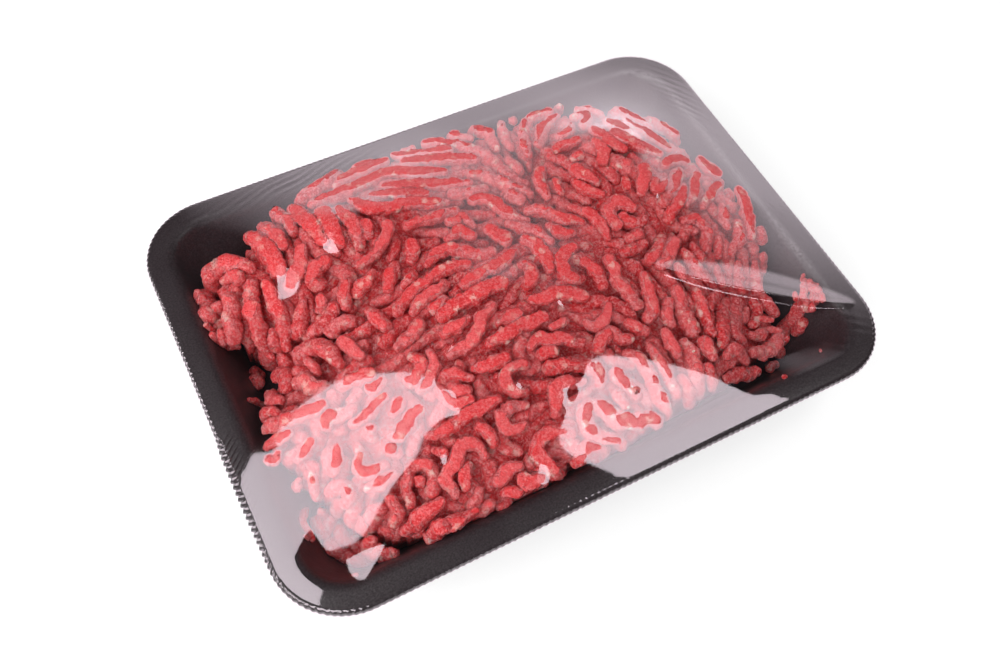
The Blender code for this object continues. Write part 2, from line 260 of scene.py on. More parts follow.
@dataclass
class HeightGrid:
    """Heights over an even grid in plan.

    Args:
        low_x: The first column's x.
        low_y: The first row's y.
        step: The distance between columns and between rows.
        heights: One height for each row and column.
    """

    low_x: float
    low_y: float
    step: float
    heights: Array

    @classmethod
    def over(cls, piece: Piece, step: float, half_x: float, half_y: float,
             missing: float) -> "HeightGrid":
        """Read the heights of a piece's top, seen from above.

        Args:
            piece: What lies under the grid.
            step: The grid's step.
            half_x: Half of the grid's length.
            half_y: Half of its width.
            missing: The height where nothing lies under the grid.

        Returns:
            The heights.
        """
        tree = BVHTree.FromObject(piece, bpy.context.evaluated_depsgraph_get())
        columns = int(round(2.0 * half_x / step)) + 1
        rows = int(round(2.0 * half_y / step)) + 1
        heights = np.full((rows, columns), missing)
        down = Vector((0.0, 0.0, -1.0))
        for row in range(rows):
            for column in range(columns):
                start = Vector((-half_x + column * step, -half_y + row * step, 1.0))
                place = tree.ray_cast(start, down)[0]
                if place is not None:
                    heights[row, column] = place.z
        return cls(-half_x, -half_y, step, heights)

    def axes(self) -> tuple[Array, Array]:
        """Return the columns' x and the rows' y."""
        rows, columns = self.heights.shape
        return self.low_x + np.arange(columns) * self.step, self.low_y + np.arange(rows) * self.step

    def at(self, x: Array, y: Array) -> Array:
        """Read the heights at plan positions, drawn straight between grid points.

        Args:
            x: The positions' x.
            y: Their y.

        Returns:
            One height for each position.
        """
        rows, columns = self.heights.shape
        across = np.clip((np.asarray(x) - self.low_x) / self.step, 0.0, columns - 1.001)
        up = np.clip((np.asarray(y) - self.low_y) / self.step, 0.0, rows - 1.001)
        column = across.astype(int)
        row = up.astype(int)
        across = across - column
        up = up - row
        low = self.heights[row, column] * (1 - across) + self.heights[row, column + 1] * across
        high = self.heights[row + 1, column] * (1 - across) + self.heights[row + 1, column + 1] * across
        return low * (1 - up) + high * up

    def like(self, heights: Array) -> "HeightGrid":
        """Return a grid with the same places and other heights."""
        return HeightGrid(self.low_x, self.low_y, self.step, heights)

    def around(self, radius: float, **padding: object) -> list[tuple[float, Array]]:
        """Shift the heights by every grid step inside a round window.

        Args:
            radius: The window's radius.
            padding: How the heights go on past the grid.

        Returns:
            Each step's length, and the heights shifted by it.
        """
        reach = int(math.ceil(radius / self.step))
        padded = np.pad(self.heights, reach, **padding)
        rows, columns = self.heights.shape
        shifts = [(down, over) for down in range(2 * reach + 1) for over in range(2 * reach + 1)]
        flats = [math.hypot(down - reach, over - reach) * self.step for down, over in shifts]
        return [(flat, padded[down:down + rows, over:over + columns])
                for flat, (down, over) in zip(flats, shifts) if flat <= radius]

    def highest(self, radius: float) -> "HeightGrid":
        """Return the highest level inside a round window."""
        return self.like(np.max([level for _, level in self.around(radius, mode="edge")], axis=0))

    def blurred(self, radius: float) -> "HeightGrid":
        """Return the mean level inside a round window."""
        return self.like(np.mean([level for _, level in self.around(radius, mode="edge")], axis=0))

    def eroded(self, radius: float) -> "HeightGrid":
        """Find the surface that lies a ball's radius inside this one.

        Args:
            radius: The ball's radius.

        Returns:
            The surface.
        """
        windows = self.around(radius, constant_values=self.heights.min())
        balls = [level - math.sqrt(radius ** 2 - flat ** 2) for flat, level in windows]
        return self.like(np.min(balls, axis=0))


# ---- finishes


class Graph:
    """The nodes of a material or of the world, added and linked by plain calls."""

    def __init__(self, owner: bpy.types.Material | bpy.types.World) -> None:
        """Start on the owner's nodes.

        Args:
            owner: What the nodes belong to.
        """
        owner.use_nodes = True
        self.owner = owner
        self.nodes = owner.node_tree.nodes
        self.links = owner.node_tree.links

    @classmethod
    def material(cls, name: str) -> "Graph":
        """Start a new material with an empty graph.

        Args:
            name: The material's name.

        Returns:
            The graph.
        """
        graph = cls(bpy.data.materials.new(name))
        graph.nodes.clear()
        return graph

    def add(self, kind: str, **sockets: object) -> bpy.types.Node:
        """Add a node.

        Args:
            kind: The node's type, without the words ShaderNode.
            sockets: Values and links by socket name, with _ for a space, and settings of the node.

        Returns:
            The node.
        """
        node = self.nodes.new("ShaderNode" + kind)
        for name, value in sockets.items():
            if hasattr(node, name) and not isinstance(value, Socket):
                setattr(node, name, value)
                continue
            socket = self.socket(node, name)
            if isinstance(value, Socket):
                self.links.new(value, socket)
            else:
                socket.default_value = value
        return node

    @staticmethod
    def socket(node: bpy.types.Node, name: str) -> Socket:
        """Find an input by its name, or by its number as in input_1.

        Args:
            node: The node.
            name: The name, with _ for a space.

        Returns:
            The input.
        """
        if name.startswith("input_"):
            return node.inputs[int(name[6:])]
        return node.inputs[name.replace("_", " ")]

    def place(self) -> Socket:
        """Return the object coordinates, in metres."""
        return self.add("TexCoord").outputs["Object"]

    def attribute(self, name: str) -> Socket:
        """Return a number that the piece's vertices carry."""
        return self.add("Attribute", attribute_name=name).outputs["Fac"]

    def noise(self, scale: float, detail: float = 2.0, roughness: float = 0.5,
              vector: Socket | None = None) -> Socket:
        """Add noise.

        Args:
            scale: Lumps in a metre.
            detail: Its layers.
            roughness: How strong the finer layers are.
            vector: Where it is read, or nothing for the object coordinates.

        Returns:
            The noise, about 0 to 1.
        """
        node = self.add("TexNoise", Scale=scale, Detail=detail, Roughness=roughness,
                        Vector=vector or self.place())
        return node.outputs["Fac"]

    def remap(self, value: Socket, low: float, high: float,
              to_low: float = 0.0, to_high: float = 1.0) -> Socket:
        """Move a value from one range to another and keep it inside.

        Args:
            value: The value.
            low: The old range's start.
            high: Its end.
            to_low: The new range's start.
            to_high: Its end.

        Returns:
            The new value.
        """
        node = self.add("MapRange", Value=value, From_Min=low, From_Max=high,
                        To_Min=to_low, To_Max=to_high)
        return node.outputs["Result"]

    def math(self, operation: str, *values: object) -> Socket:
        """Return the result of one sum on numbers or sockets."""
        sockets = {f"input_{index}": value for index, value in enumerate(values)}
        return self.add("Math", operation=operation, **sockets).outputs[0]

    def mix(self, factor: object, first: object, second: object) -> Socket:
        """Blend two colours.

        Args:
            factor: The second one's share.
            first: A colour.
            second: A colour.

        Returns:
            The blend.
        """
        node = self.nodes.new("ShaderNodeMix")
        node.data_type = "RGBA"
        for index, value in ((0, factor), (6, first), (7, second)):
            if isinstance(value, Socket):
                self.links.new(value, node.inputs[index])
            else:
                node.inputs[index].default_value = value
        return node.outputs[2]

    def bump(self, height: Socket, strength: float, distance: float,
             normal: Socket | None = None) -> Socket:
        """Bend the normal by a height.

        Args:
            height: The height, 0 to 1.
            strength: The bump's strength.
            distance: The height of 1, in metres.
            normal: The normal that is bent further.

        Returns:
            The normal.
        """
        node = self.add("Bump", Height=height, Strength=strength, Distance=distance)
        if normal is not None:
            self.links.new(normal, node.inputs["Normal"])
        return node.outputs["Normal"]

    def finish(self, shader: bpy.types.Node) -> bpy.types.Material:
        """Send the shader to the output and return the material."""
        self.add("OutputMaterial", Surface=shader.outputs[0])
        return self.owner


Colour = tuple[float, float, float]
WHITE: Colour = (1.0, 1.0, 1.0)


def rgba(colour: Colour) -> tuple[float, float, float, float]:
    """Return the colour with full alpha."""
    return (*colour, 1.0)


@dataclass(frozen=True)
class BeefFinish:
    """Raw minced beef: moist red muscle with pale flecks of fat.

    Args:
        name: The material's name.
        lean: Muscle in the light.
        deep: Muscle in the hollows and where the film wets it.
        pale: Muscle mixed with fat.
        fat: Clean fat.
        painted_edge_glint: A painted highlight: the pale ring just round the places that the film wets,
            where the lifting film reflects light.
        roughness: How matt the moist surface is.
    """

    name: str = "raw_beef"
    lean: Colour = (0.88, 0.054, 0.062)
    deep: Colour = (0.70, 0.020, 0.026)
    pale: Colour = (0.99, 0.33, 0.34)
    fat: Colour = (1.0, 0.68, 0.60)
    painted_edge_glint: Colour = (0.95, 0.34, 0.35)
    roughness: float = 0.38

    def make(self) -> bpy.types.Material:
        """Build the nodes.

        Returns:
            The material.
        """
        g = Graph.material(self.name)
        grain = g.noise(620.0, 4.0, 0.70)
        tone = g.attribute("tone")
        press = g.attribute("press")
        wet = g.remap(press, -0.02, 0.06)
        pale, deep = rgba(self.pale), rgba(self.deep)
        lean = g.mix(g.remap(g.noise(190.0, 3.0, 0.6), 0.38, 0.62), deep, rgba(self.lean))
        for value, low, high, share, other in (
                (g.noise(600.0, 4.0, 0.7), 0.50, 0.62, 0.62, pale), (tone, 0.3, 1.0, 0.26, pale),
                (g.noise(1250.0, 3.0, 0.65), 0.50, 0.62, 0.72, pale),
                (g.noise(830.0, 3.0, 0.6), 0.44, 0.32, 0.60, deep)):
            lean = g.mix(g.remap(value, low, high, 0.0, share), lean, other)
        stray = g.add("TexNoise", Scale=900.0, Detail=2.0, Vector=g.place()).outputs["Color"]
        place = g.add("VectorMath", operation="MULTIPLY_ADD", input_0=stray, input_1=(0.0032,) * 3,
                      input_2=g.place()).outputs[0]
        cells = g.add("TexVoronoi", Scale=300.0, Vector=place)
        chosen = g.remap(g.add("SeparateColor", Color=cells.outputs["Color"]).outputs[0], 0.58, 1.0)
        fleck = g.math("MULTIPLY", chosen, g.remap(cells.outputs["Distance"], 0.46, 0.22))
        # Painted shade: fat flecks show at half strength on strands more than 0.7 mm under the film, down
        # in the heap.
        fleck = g.math("MULTIPLY", fleck, g.remap(press, -1.0, -0.7, 0.5, 1.0))
        colour = g.mix(fleck, lean, rgba(self.fat))
        # Painted highlight: a pale ring on strands lying just under the film, round the places that it
        # wets.
        painted_edge_glint = g.math("MULTIPLY", g.remap(press, -0.30, -0.10), g.remap(press, 0.05, -0.02))
        colour = g.mix(g.math("MULTIPLY", painted_edge_glint, 0.35), colour, rgba(self.painted_edge_glint))
        colour = g.mix(g.math("MULTIPLY", wet, 0.45), colour, rgba(self.deep))
        rise = g.math("MULTIPLY", grain, g.remap(wet, 0.0, 1.0, 1.0, 0.45))
        bump = g.bump(rise, 1.0, 1.9 * MM)
        bump = g.bump(g.noise(1500.0, 2.0, 0.6), 0.8, 0.40 * MM, bump)
        shader = g.add("BsdfPrincipled", Base_Color=colour, Roughness=self.roughness, Normal=bump)
        shader.inputs["Specular IOR Level"].default_value = 0.40
        shader.inputs["Subsurface Weight"].default_value = 0.40
        shader.inputs["Subsurface Radius"].default_value = (1.0, 0.22, 0.18)
        shader.inputs["Subsurface Scale"].default_value = 2.6 * MM
        shader.inputs["Coat Weight"].default_value = 0.30
        shader.inputs["Coat Roughness"].default_value = 0.14
        return g.finish(shader)


@dataclass(frozen=True)
class FoamFinish:
    """Black foamed plastic with a satin skin, with pale specks and a highlight painted along the inner
    break.

    Args:
        name: The material's name.
        colour: The foam.
        speck: Its palest specks.
        break_highlight: The colour of the highlight painted along the inner break, where the light catches
            the round edge.
        roughness: How matt its skin is.
    """

    name: str = "black_foam"
    colour: Colour = (0.020, 0.0125, 0.0150)
    speck: Colour = (0.048, 0.035, 0.040)
    break_highlight: Colour = (0.20, 0.18, 0.19)
    roughness: float = 0.36

    def make(self) -> bpy.types.Material:
        """Build the nodes.

        Returns:
            The material.
        """
        g = Graph.material(self.name)
        grain = g.noise(1700.0, 2.0, 0.5)
        cells = g.add("TexVoronoi", Scale=900.0, Vector=g.place()).outputs["Distance"]
        colour = g.mix(g.remap(grain, 0.35, 0.7), rgba(self.colour), rgba(self.speck))
        # Painted highlight: the foam is lightened along the inner break at the right, where the light
        # catches the round edge.
        painted_break_glint = g.math("MULTIPLY", g.attribute("painted_break_glint"), g.remap(g.noise(1100.0, 3.0, 0.7), 0.36, 0.66))
        colour = g.mix(painted_break_glint, colour, rgba(self.break_highlight))
        bump = g.bump(cells, 0.35, 0.12 * MM)
        bump = g.bump(grain, 0.3, 0.08 * MM, bump)
        rough = g.remap(g.noise(60.0, 2.0, 0.5), 0.3, 0.7, self.roughness - 0.06, self.roughness + 0.08)
        shader = g.add("BsdfPrincipled", Base_Color=colour, Roughness=rough, Normal=bump)
        return g.finish(shader)


@dataclass(frozen=True)
class FilmFinish:
    """Clear stretch film, which mirrors the lights in both of its faces.

    Args:
        name: The material's name.
        gloss: The tint of what it mirrors.
        straight: How much it mirrors seen straight on.
        roughness: How blurred the mirror image is.
        wetted: How much of that is left where it lies on the meat.
        apart: How much it mirrors elsewhere, with both faces.
    """

    name: str = "stretch_film"
    gloss: Colour = (1.0, 0.87, 0.95)
    straight: float = 0.041
    roughness: float = 0.03
    wetted: float = 0.30
    apart: float = 1.9

    def make(self) -> bpy.types.Material:
        """Build the nodes.

        Returns:
            The material.
        """
        g = Graph.material(self.name)
        ragged = g.math("MULTIPLY", g.noise(800.0, 3.0, 0.7), 0.9)
        gap = g.math("ADD", g.attribute("gap"), g.math("SUBTRACT", ragged, 0.50))
        apart = g.remap(gap, -0.06, 0.04)
        facing = g.add("LayerWeight", Blend=0.5).outputs["Facing"]
        one = g.math("MULTIPLY", g.math("POWER", facing, 5.0), 1.0 - self.straight)
        one = g.math("ADD", one, self.straight)
        both = g.math("MULTIPLY", one, g.remap(apart, 0.0, 1.0, self.wetted, self.apart))
        clear = g.add("BsdfTransparent", Color=(0.99, 0.99, 0.99, 1.0))
        gloss = g.add("BsdfGlossy", Color=rgba(self.gloss), Roughness=self.roughness)
        shader = g.add("MixShader", Fac=g.math("MINIMUM", both, 1.0),
                       input_1=clear.outputs[0], input_2=gloss.outputs[0])
        return g.finish(shader)


@dataclass(frozen=True)
class FloorFinish:
    """Plain pale floor.

    Args:
        name: The material's name.
        colour: The floor.
        pale: Its palest places.
        glow: How much it shines by itself.
    """

    name: str = "pale_floor"
    colour: Colour = (0.55, 0.55, 0.55)
    pale: Colour = (0.57, 0.57, 0.57)
    glow: float = 0.6

    def make(self) -> bpy.types.Material:
        """Build the nodes.

        Returns:
            The material.
        """
        g = Graph.material(self.name)
        shade = g.mix(g.noise(3.0, 2.0, 0.5), rgba(self.colour), rgba(self.pale))
        shader = g.add("BsdfPrincipled", Base_Color=shade, Roughness=0.9)
        shader.inputs["Emission Color"].default_value = rgba(WHITE)
        shader.inputs["Emission Strength"].default_value = self.glow
        return g.finish(shader)


# ---- the mince


@dataclass(frozen=True)
class Lay:
    """How the strands lie in one part of the heap.

    Args:
        x: Middle of the part.
        y: Middle of the part.
        reach: How far it is felt.
        heading: The strands' direction in plan, in degrees from +X.
        curl: How strongly they wander and curl, from 0 to 1.
    """

    x: float
    y: float
    reach: float
    heading: float
    curl: float = 0.3


LAYS = {
    "hanging_left": Lay(-0.080, 0.018, 0.016, -90.0, 0.15),
    "left_lobe": Lay(-0.088, 0.042, 0.012, 30.0, 0.6),
    "ridge_left": Lay(-0.055, 0.045, 0.018, -78.0, 0.2),
    "ridge_back": Lay(-0.045, 0.062, 0.016, 12.0, 0.2),
    "ridge_right": Lay(-0.005, 0.048, 0.018, -18.0, 0.3),
    "valley": Lay(0.026, 0.045, 0.012, -85.0, 0.4),
    "middle_left": Lay(-0.045, 0.005, 0.018, 16.0, 0.4),
    "middle": Lay(-0.010, -0.012, 0.022, 4.0, 0.35),
    "middle_right": Lay(0.030, 0.002, 0.018, -50.0, 0.5),
    "far_mound": Lay(0.060, 0.035, 0.018, -60.0, 0.5),
    "mound_right": Lay(0.086, 0.012, 0.014, -38.0, 0.3),
    "mound_front": Lay(0.070, -0.014, 0.018, -88.0, 0.25),
    "right_front": Lay(0.045, -0.042, 0.018, -96.0, 0.2),
    "right_heap": Lay(0.066, -0.058, 0.012, 25.0, 0.8),
    "left_edge": Lay(-0.092, -0.020, 0.012, -8.0, 0.3),
    "left_front": Lay(-0.072, -0.034, 0.016, 40.0, 0.6),
    "front_corner": Lay(-0.072, -0.060, 0.014, -40.0, 0.9),
    "front_lobe": Lay(-0.038, -0.055, 0.018, -70.0, 0.9),
    "front_middle": Lay(-0.012, -0.045, 0.014, -20.0, 0.9),
    "front_right": Lay(0.010, -0.060, 0.016, -80.0, 0.9),
}


@dataclass
class StrandField:
    """The direction in which strands lie at any place, blended from the parts of the heap."""

    lays: dict[str, Lay] = field(default_factory=lambda: LAYS)

    def weights(self, x: float, y: float) -> list[float]:
        """Return each part's pull at a place."""
        return [math.exp(-((x - lay.x) ** 2 + (y - lay.y) ** 2) / (2.0 * (0.5 * lay.reach) ** 2)) + 1e-9
                for lay in self.lays.values()]

    def at(self, x: float, y: float) -> tuple[float, float]:
        """Blend the parts' directions at a place.

        Args:
            x: The place.
            y: The place.

        Returns:
            The direction in radians, and the curl.
        """
        pulls = self.weights(x, y)
        cosine = sine = curl = 0.0
        for pull, lay in zip(pulls, self.lays.values()):
            cosine += pull * math.cos(2.0 * math.radians(lay.heading))
            sine += pull * math.sin(2.0 * math.radians(lay.heading))
            curl += pull * lay.curl
        return 0.5 * math.atan2(sine, cosine), curl / sum(pulls)


@dataclass
class StrandTracer:
    """Lays strands on one level of the heap, each clear of the ones before it.

    Args:
        surface: The level on which the strands' middles lie.
        floor: The lowest level that a middle may have.
        spacing: The least distance between middles in plan.
        seed: Seed of the random draws.
    """

    surface: HeightGrid
    floor: HeightGrid
    spacing: float
    seed: int
    pace: float = 2.0 * MM
    cell: float = 0.7 * MM

    def __post_init__(self) -> None:
        """Start with nothing taken."""
        self.rng = np.random.default_rng(self.seed)
        self.directions = StrandField()
        self.noise = ValueNoise(self.seed + 50)
        x, y = self.surface.axes()
        self.low = (x[0], y[0])
        self.taken = np.zeros((int((y[-1] - y[0]) / self.cell) + 2, int((x[-1] - x[0]) / self.cell) + 2))
        self.limit = 1.0

    def inside(self, x: float, y: float) -> bool:
        """Tell whether the heap has room for a middle.

        Args:
            x: The place.
            y: The place.

        Returns:
            Whether it has.
        """
        if not (self.low[0] < x < -self.low[0] and self.low[1] < y < -self.low[1]):
            return False
        return float(self.surface.at(x, y)) > float(self.floor.at(x, y)) - 1.5 * MM

    def free(self, x: float, y: float) -> bool:
        """Return whether no strand lies at the place."""
        row, column = int((y - self.low[1]) / self.cell), int((x - self.low[0]) / self.cell)
        return self.taken[row, column] < self.limit

    def mark(self, path: list[tuple[float, float]]) -> None:
        """Take the room round a path: 1 at the spacing, more nearer to the path.

        Args:
            path: The strand's places.
        """
        reach = int(self.spacing / self.cell) + 1
        rows, columns = np.mgrid[-reach:reach + 1, -reach:reach + 1]
        near = self.spacing / np.maximum(np.hypot(rows, columns) * self.cell, 0.1 * self.cell)
        for x, y in path:
            r = np.clip(rows + int((y - self.low[1]) / self.cell), 0, self.taken.shape[0] - 1)
            c = np.clip(columns + int((x - self.low[0]) / self.cell), 0, self.taken.shape[1] - 1)
            self.taken[r, c] = np.maximum(self.taken[r, c], near)

    def laid(self, places: tuple[tuple[float, float], ...]) -> Array:
        """Lay a strand along given places and take its room.

        Args:
            places: The places that it follows in plan, in millimetres.

        Returns:
            Its middle line.
        """
        corners = np.array(places) * MM
        part = np.linspace(0.0, len(corners) - 1.0, 24 * len(corners))
        whole = np.arange(len(corners))
        flat = np.column_stack([np.interp(part, whole, corners[:, axis]) for axis in (0, 1)])
        for _ in range(60):
            flat[1:-1] = 0.25 * flat[:-2] + 0.5 * flat[1:-1] + 0.25 * flat[2:]
        line = self.raised([tuple(place) for place in flat])
        gone = np.concatenate([[0.0], np.cumsum(np.linalg.norm(np.diff(line, axis=0), axis=1))])
        count = max(int(round(gone[-1] / self.pace)), 2)
        even = np.linspace(0.0, gone[-1], count + 1)
        line = np.column_stack([np.interp(even, gone, line[:, axis]) for axis in range(3)])
        self.mark([(place[0], place[1]) for place in line])
        return line

    def slope(self, x: float, y: float, heading: float) -> float:
        """Measure how steeply the level rises.

        Args:
            x: The place.
            y: The place.
            heading: The way, in radians.

        Returns:
            The slope.
        """
        step = 1.5 * MM
        ahead = self.surface.at(x + step * math.cos(heading), y + step * math.sin(heading))
        behind = self.surface.at(x - step * math.cos(heading), y - step * math.sin(heading))
        return float(ahead - behind) / (2.0 * step)

    def run(self, x: float, y: float, heading: float, turn: float, length: float,
            key: float) -> list[tuple[float, float]]:
        """Trace half a strand.

        Args:
            x: Where it starts.
            y: Where it starts.
            heading: Its first direction in radians.
            turn: How much it turns, in radians for each metre.
            length: How long it is at most.
            key: A number that gives the strand its own wandering.

        Returns:
            Its places.
        """
        path = []
        gone = 0.0
        while gone < length:
            steep = min(abs(self.slope(x, y, heading)), 4.0)
            flat = self.pace / math.sqrt(1.0 + steep ** 2)
            x += flat * math.cos(heading)
            y += flat * math.sin(heading)
            if not self.inside(x, y) or not self.free(x, y):
                break
            path.append((x, y))
            gone += self.pace
            wanted, curl = self.directions.at(x, y)
            away = (wanted - heading + math.pi / 2) % math.pi - math.pi / 2
            hold = 0.35 * (1.0 - 0.85 * curl) if turn == 0.0 else 0.0
            wander = float(self.noise.at(np.array([[x / 0.009, y / 0.009, key]]))[0])
            heading += away * hold + (0.22 + 0.5 * curl) * wander + turn * self.pace
        return path

    def strand(self, x: float, y: float, heading: float, turn: float, length: float) -> list | None:
        """Trace a whole strand through a place.

        Args:
            x: The place.
            y: The place.
            heading: Its direction there, in radians.
            turn: How much it turns, in radians for each metre.
            length: How long it is at most.

        Returns:
            Its places, or nothing if it has no room.
        """
        if not self.inside(x, y) or not self.free(x, y):
            return None
        key = float(self.rng.uniform(0.0, 40.0))
        ahead = self.run(x, y, heading, turn, length / 2, key)
        behind = self.run(x, y, heading + math.pi, -turn, length / 2, key + 3.0)
        return behind[::-1] + [(x, y)] + ahead

    def lay_all(self, tries: int, longest: float, shortest: float, curled: float) -> list[Array]:
        """Lay strands wherever they find room.

        Args:
            tries: How many places are tried.
            longest: The longest strand.
            shortest: The shortest strand that is kept.
            curled: The share of strands that curl up.

        Returns:
            Their middle lines.
        """
        paths = []
        for _ in range(tries):
            x = float(self.rng.uniform(self.low[0], -self.low[0]))
            y = float(self.rng.uniform(self.low[1], -self.low[1]))
            length = float(self.rng.uniform(0.35, 1.0)) * longest
            spread = float(self.rng.normal(0.0, 0.16))
            curling = float(self.rng.uniform()) < curled
            bend = float(self.rng.choice([-1.0, 1.0])) * float(self.rng.uniform(110.0, 200.0))
            if not self.inside(x, y) or not self.free(x, y):
                continue
            wanted, curl = self.directions.at(x, y)
            curling = curling and curl > 0.45
            heading = wanted + spread + (float(self.rng.uniform(-1.2, 1.2)) if curling else 0.0)
            path = self.strand(x, y, heading, bend if curling else 0.0, length)
            if path and len(path) * self.pace >= shortest:
                self.mark(path)
                paths.append(self.raised(path))
        return paths

    def raised(self, path: list[tuple[float, float]]) -> Array:
        """Set a path on the level, where it rises and falls a little.

        Args:
            path: Its places in plan.

        Returns:
            Rows of x, y, z.
        """
        flat = np.array(path)
        level = np.maximum(self.surface.at(flat[:, 0], flat[:, 1]), self.floor.at(flat[:, 0], flat[:, 1]))
        key = float(self.rng.uniform(0.0, 40.0))
        wave = self.noise.at(np.column_stack([flat / 0.010, np.full(len(flat), key)]))
        shift = float(self.rng.uniform(-0.9, 0.3)) * MM
        return np.column_stack([flat, level + shift + 0.9 * MM * wave])


def straight(start: tuple, end: tuple, count: int) -> Array:
    """Return points from start to end, in metres, of ends in millimetres."""
    part = np.linspace(0.0, 1.0, count)[:, None]
    return (np.array(start) * (1.0 - part) + np.array(end) * part) * MM


class Pile:
    """Strands that push each other apart until none sits in another."""

    def __init__(self, paths: list[Array], clearance: float, pace: float) -> None:
        """Join the strands' points and note which follow which.

        Args:
            paths: The strands' middle lines.
            clearance: The least distance between them.
            pace: The distance between a strand's points.
        """
        self.counts = [len(path) for path in paths]
        self.points = np.concatenate(paths)
        self.owner = np.repeat(np.arange(len(paths)), self.counts)
        self.order = np.concatenate([np.arange(count) for count in self.counts])
        self.clearance = clearance
        follows = self.owner[1:] == self.owner[:-1]
        first = np.nonzero(follows)[0]
        self.links = np.column_stack([first, first + 1])
        skips = self.owner[2:] == self.owner[:-2]
        second = np.nonzero(skips)[0]
        self.braces = np.column_stack([second, second + 2])
        self.link_rest = np.full(len(self.links), pace)
        gap = self.points[self.braces[:, 1]] - self.points[self.braces[:, 0]]
        self.brace_rest = np.clip(np.linalg.norm(gap, axis=1), 1.2 * pace, 2.0 * pace)

    def close_pairs(self, reach: float) -> Array:
        """Find points that are close and aren't neighbours on a strand.

        Args:
            reach: How far apart they are at most.

        Returns:
            Rows of two point numbers.
        """
        cell = np.floor((self.points - self.points.min(0)) / reach).astype(np.int64)
        size = cell.max(0) + 3
        key = ((cell[:, 0] + 1) * size[1] + cell[:, 1] + 1) * size[2] + cell[:, 2] + 1
        order = np.argsort(key, kind="stable")
        ranked = key[order]
        found = []
        for step_x, step_y, step_z in np.ndindex(3, 3, 3):
            shift = ((step_x - 1) * size[1] + step_y - 1) * size[2] + step_z - 1
            if shift < 0:
                continue
            start = np.searchsorted(ranked, key + shift, "left")
            count = np.searchsorted(ranked, key + shift, "right") - start
            first = np.repeat(np.arange(len(key)), count)
            run = np.arange(count.sum()) - np.repeat(np.cumsum(count) - count, count)
            second = order[np.repeat(start, count) + run]
            keep = first < second if shift == 0 else np.full(len(first), True)
            found.append(np.column_stack([first[keep], second[keep]]))
        pairs = np.concatenate(found)
        apart = np.linalg.norm(self.points[pairs[:, 0]] - self.points[pairs[:, 1]], axis=1)
        along = np.abs(self.order[pairs[:, 0]] - self.order[pairs[:, 1]])
        free = (self.owner[pairs[:, 0]] != self.owner[pairs[:, 1]]) | (along > 3)
        return pairs[(apart < reach) & free]

    def pull(self, pairs: Array, rest: Array, stiffness: float, only_apart: bool) -> None:
        """Move pairs of points towards their distance at rest.

        Args:
            pairs: Rows of two point numbers.
            rest: The distance for each pair.
            stiffness: The share of the fault that is mended at once.
            only_apart: Whether only pairs that are too close are moved.
        """
        gap = self.points[pairs[:, 1]] - self.points[pairs[:, 0]]
        length = np.linalg.norm(gap, axis=1) + 1e-9
        fault = length - rest
        if only_apart:
            fault = np.minimum(fault, 0.0)
        move = gap * (0.5 * stiffness * fault / length)[:, None]
        shift = np.zeros_like(self.points)
        hits = np.full(len(self.points), 1e-9)
        touched = np.abs(fault) > 1e-7
        for column, sign in ((0, 1.0), (1, -1.0)):
            for axis in range(3):
                shift[:, axis] += np.bincount(pairs[:, column], sign * move[:, axis], len(self.points))
            hits += np.bincount(pairs[:, column], touched, len(self.points))
        self.points += shift / np.maximum(hits, 1.0)[:, None] * 1.6

    def relax(self, rounds: int, ceiling: HeightGrid, floor: HeightGrid, room: tuple[float, float]) -> None:
        """Push the strands apart, under a ceiling and over a floor.

        Args:
            rounds: How many rounds are done.
            ceiling: The highest level for a middle.
            floor: The lowest level for a middle.
            room: How far out a middle may lie in x and in y.
        """
        pairs = None
        for turn in range(rounds):
            if turn % 6 == 0:
                pairs = self.close_pairs(self.clearance * 1.35)
            self.pull(pairs, np.full(len(pairs), self.clearance), 0.9, True)
            self.pull(self.links, self.link_rest, 0.9, False)
            self.pull(self.braces, self.brace_rest, 0.5, False)
            self.points[:, :2] = np.clip(self.points[:, :2], np.negative(room), room)
            x, y, z = self.points.T
            self.points[:, 2] = np.maximum(np.minimum(z, ceiling.at(x, y)), floor.at(x, y))

    def strands(self) -> list[Array]:
        """Return each strand's points."""
        ends = np.cumsum(self.counts)
        return [self.points[end - count:end] for count, end in zip(self.counts, ends)]


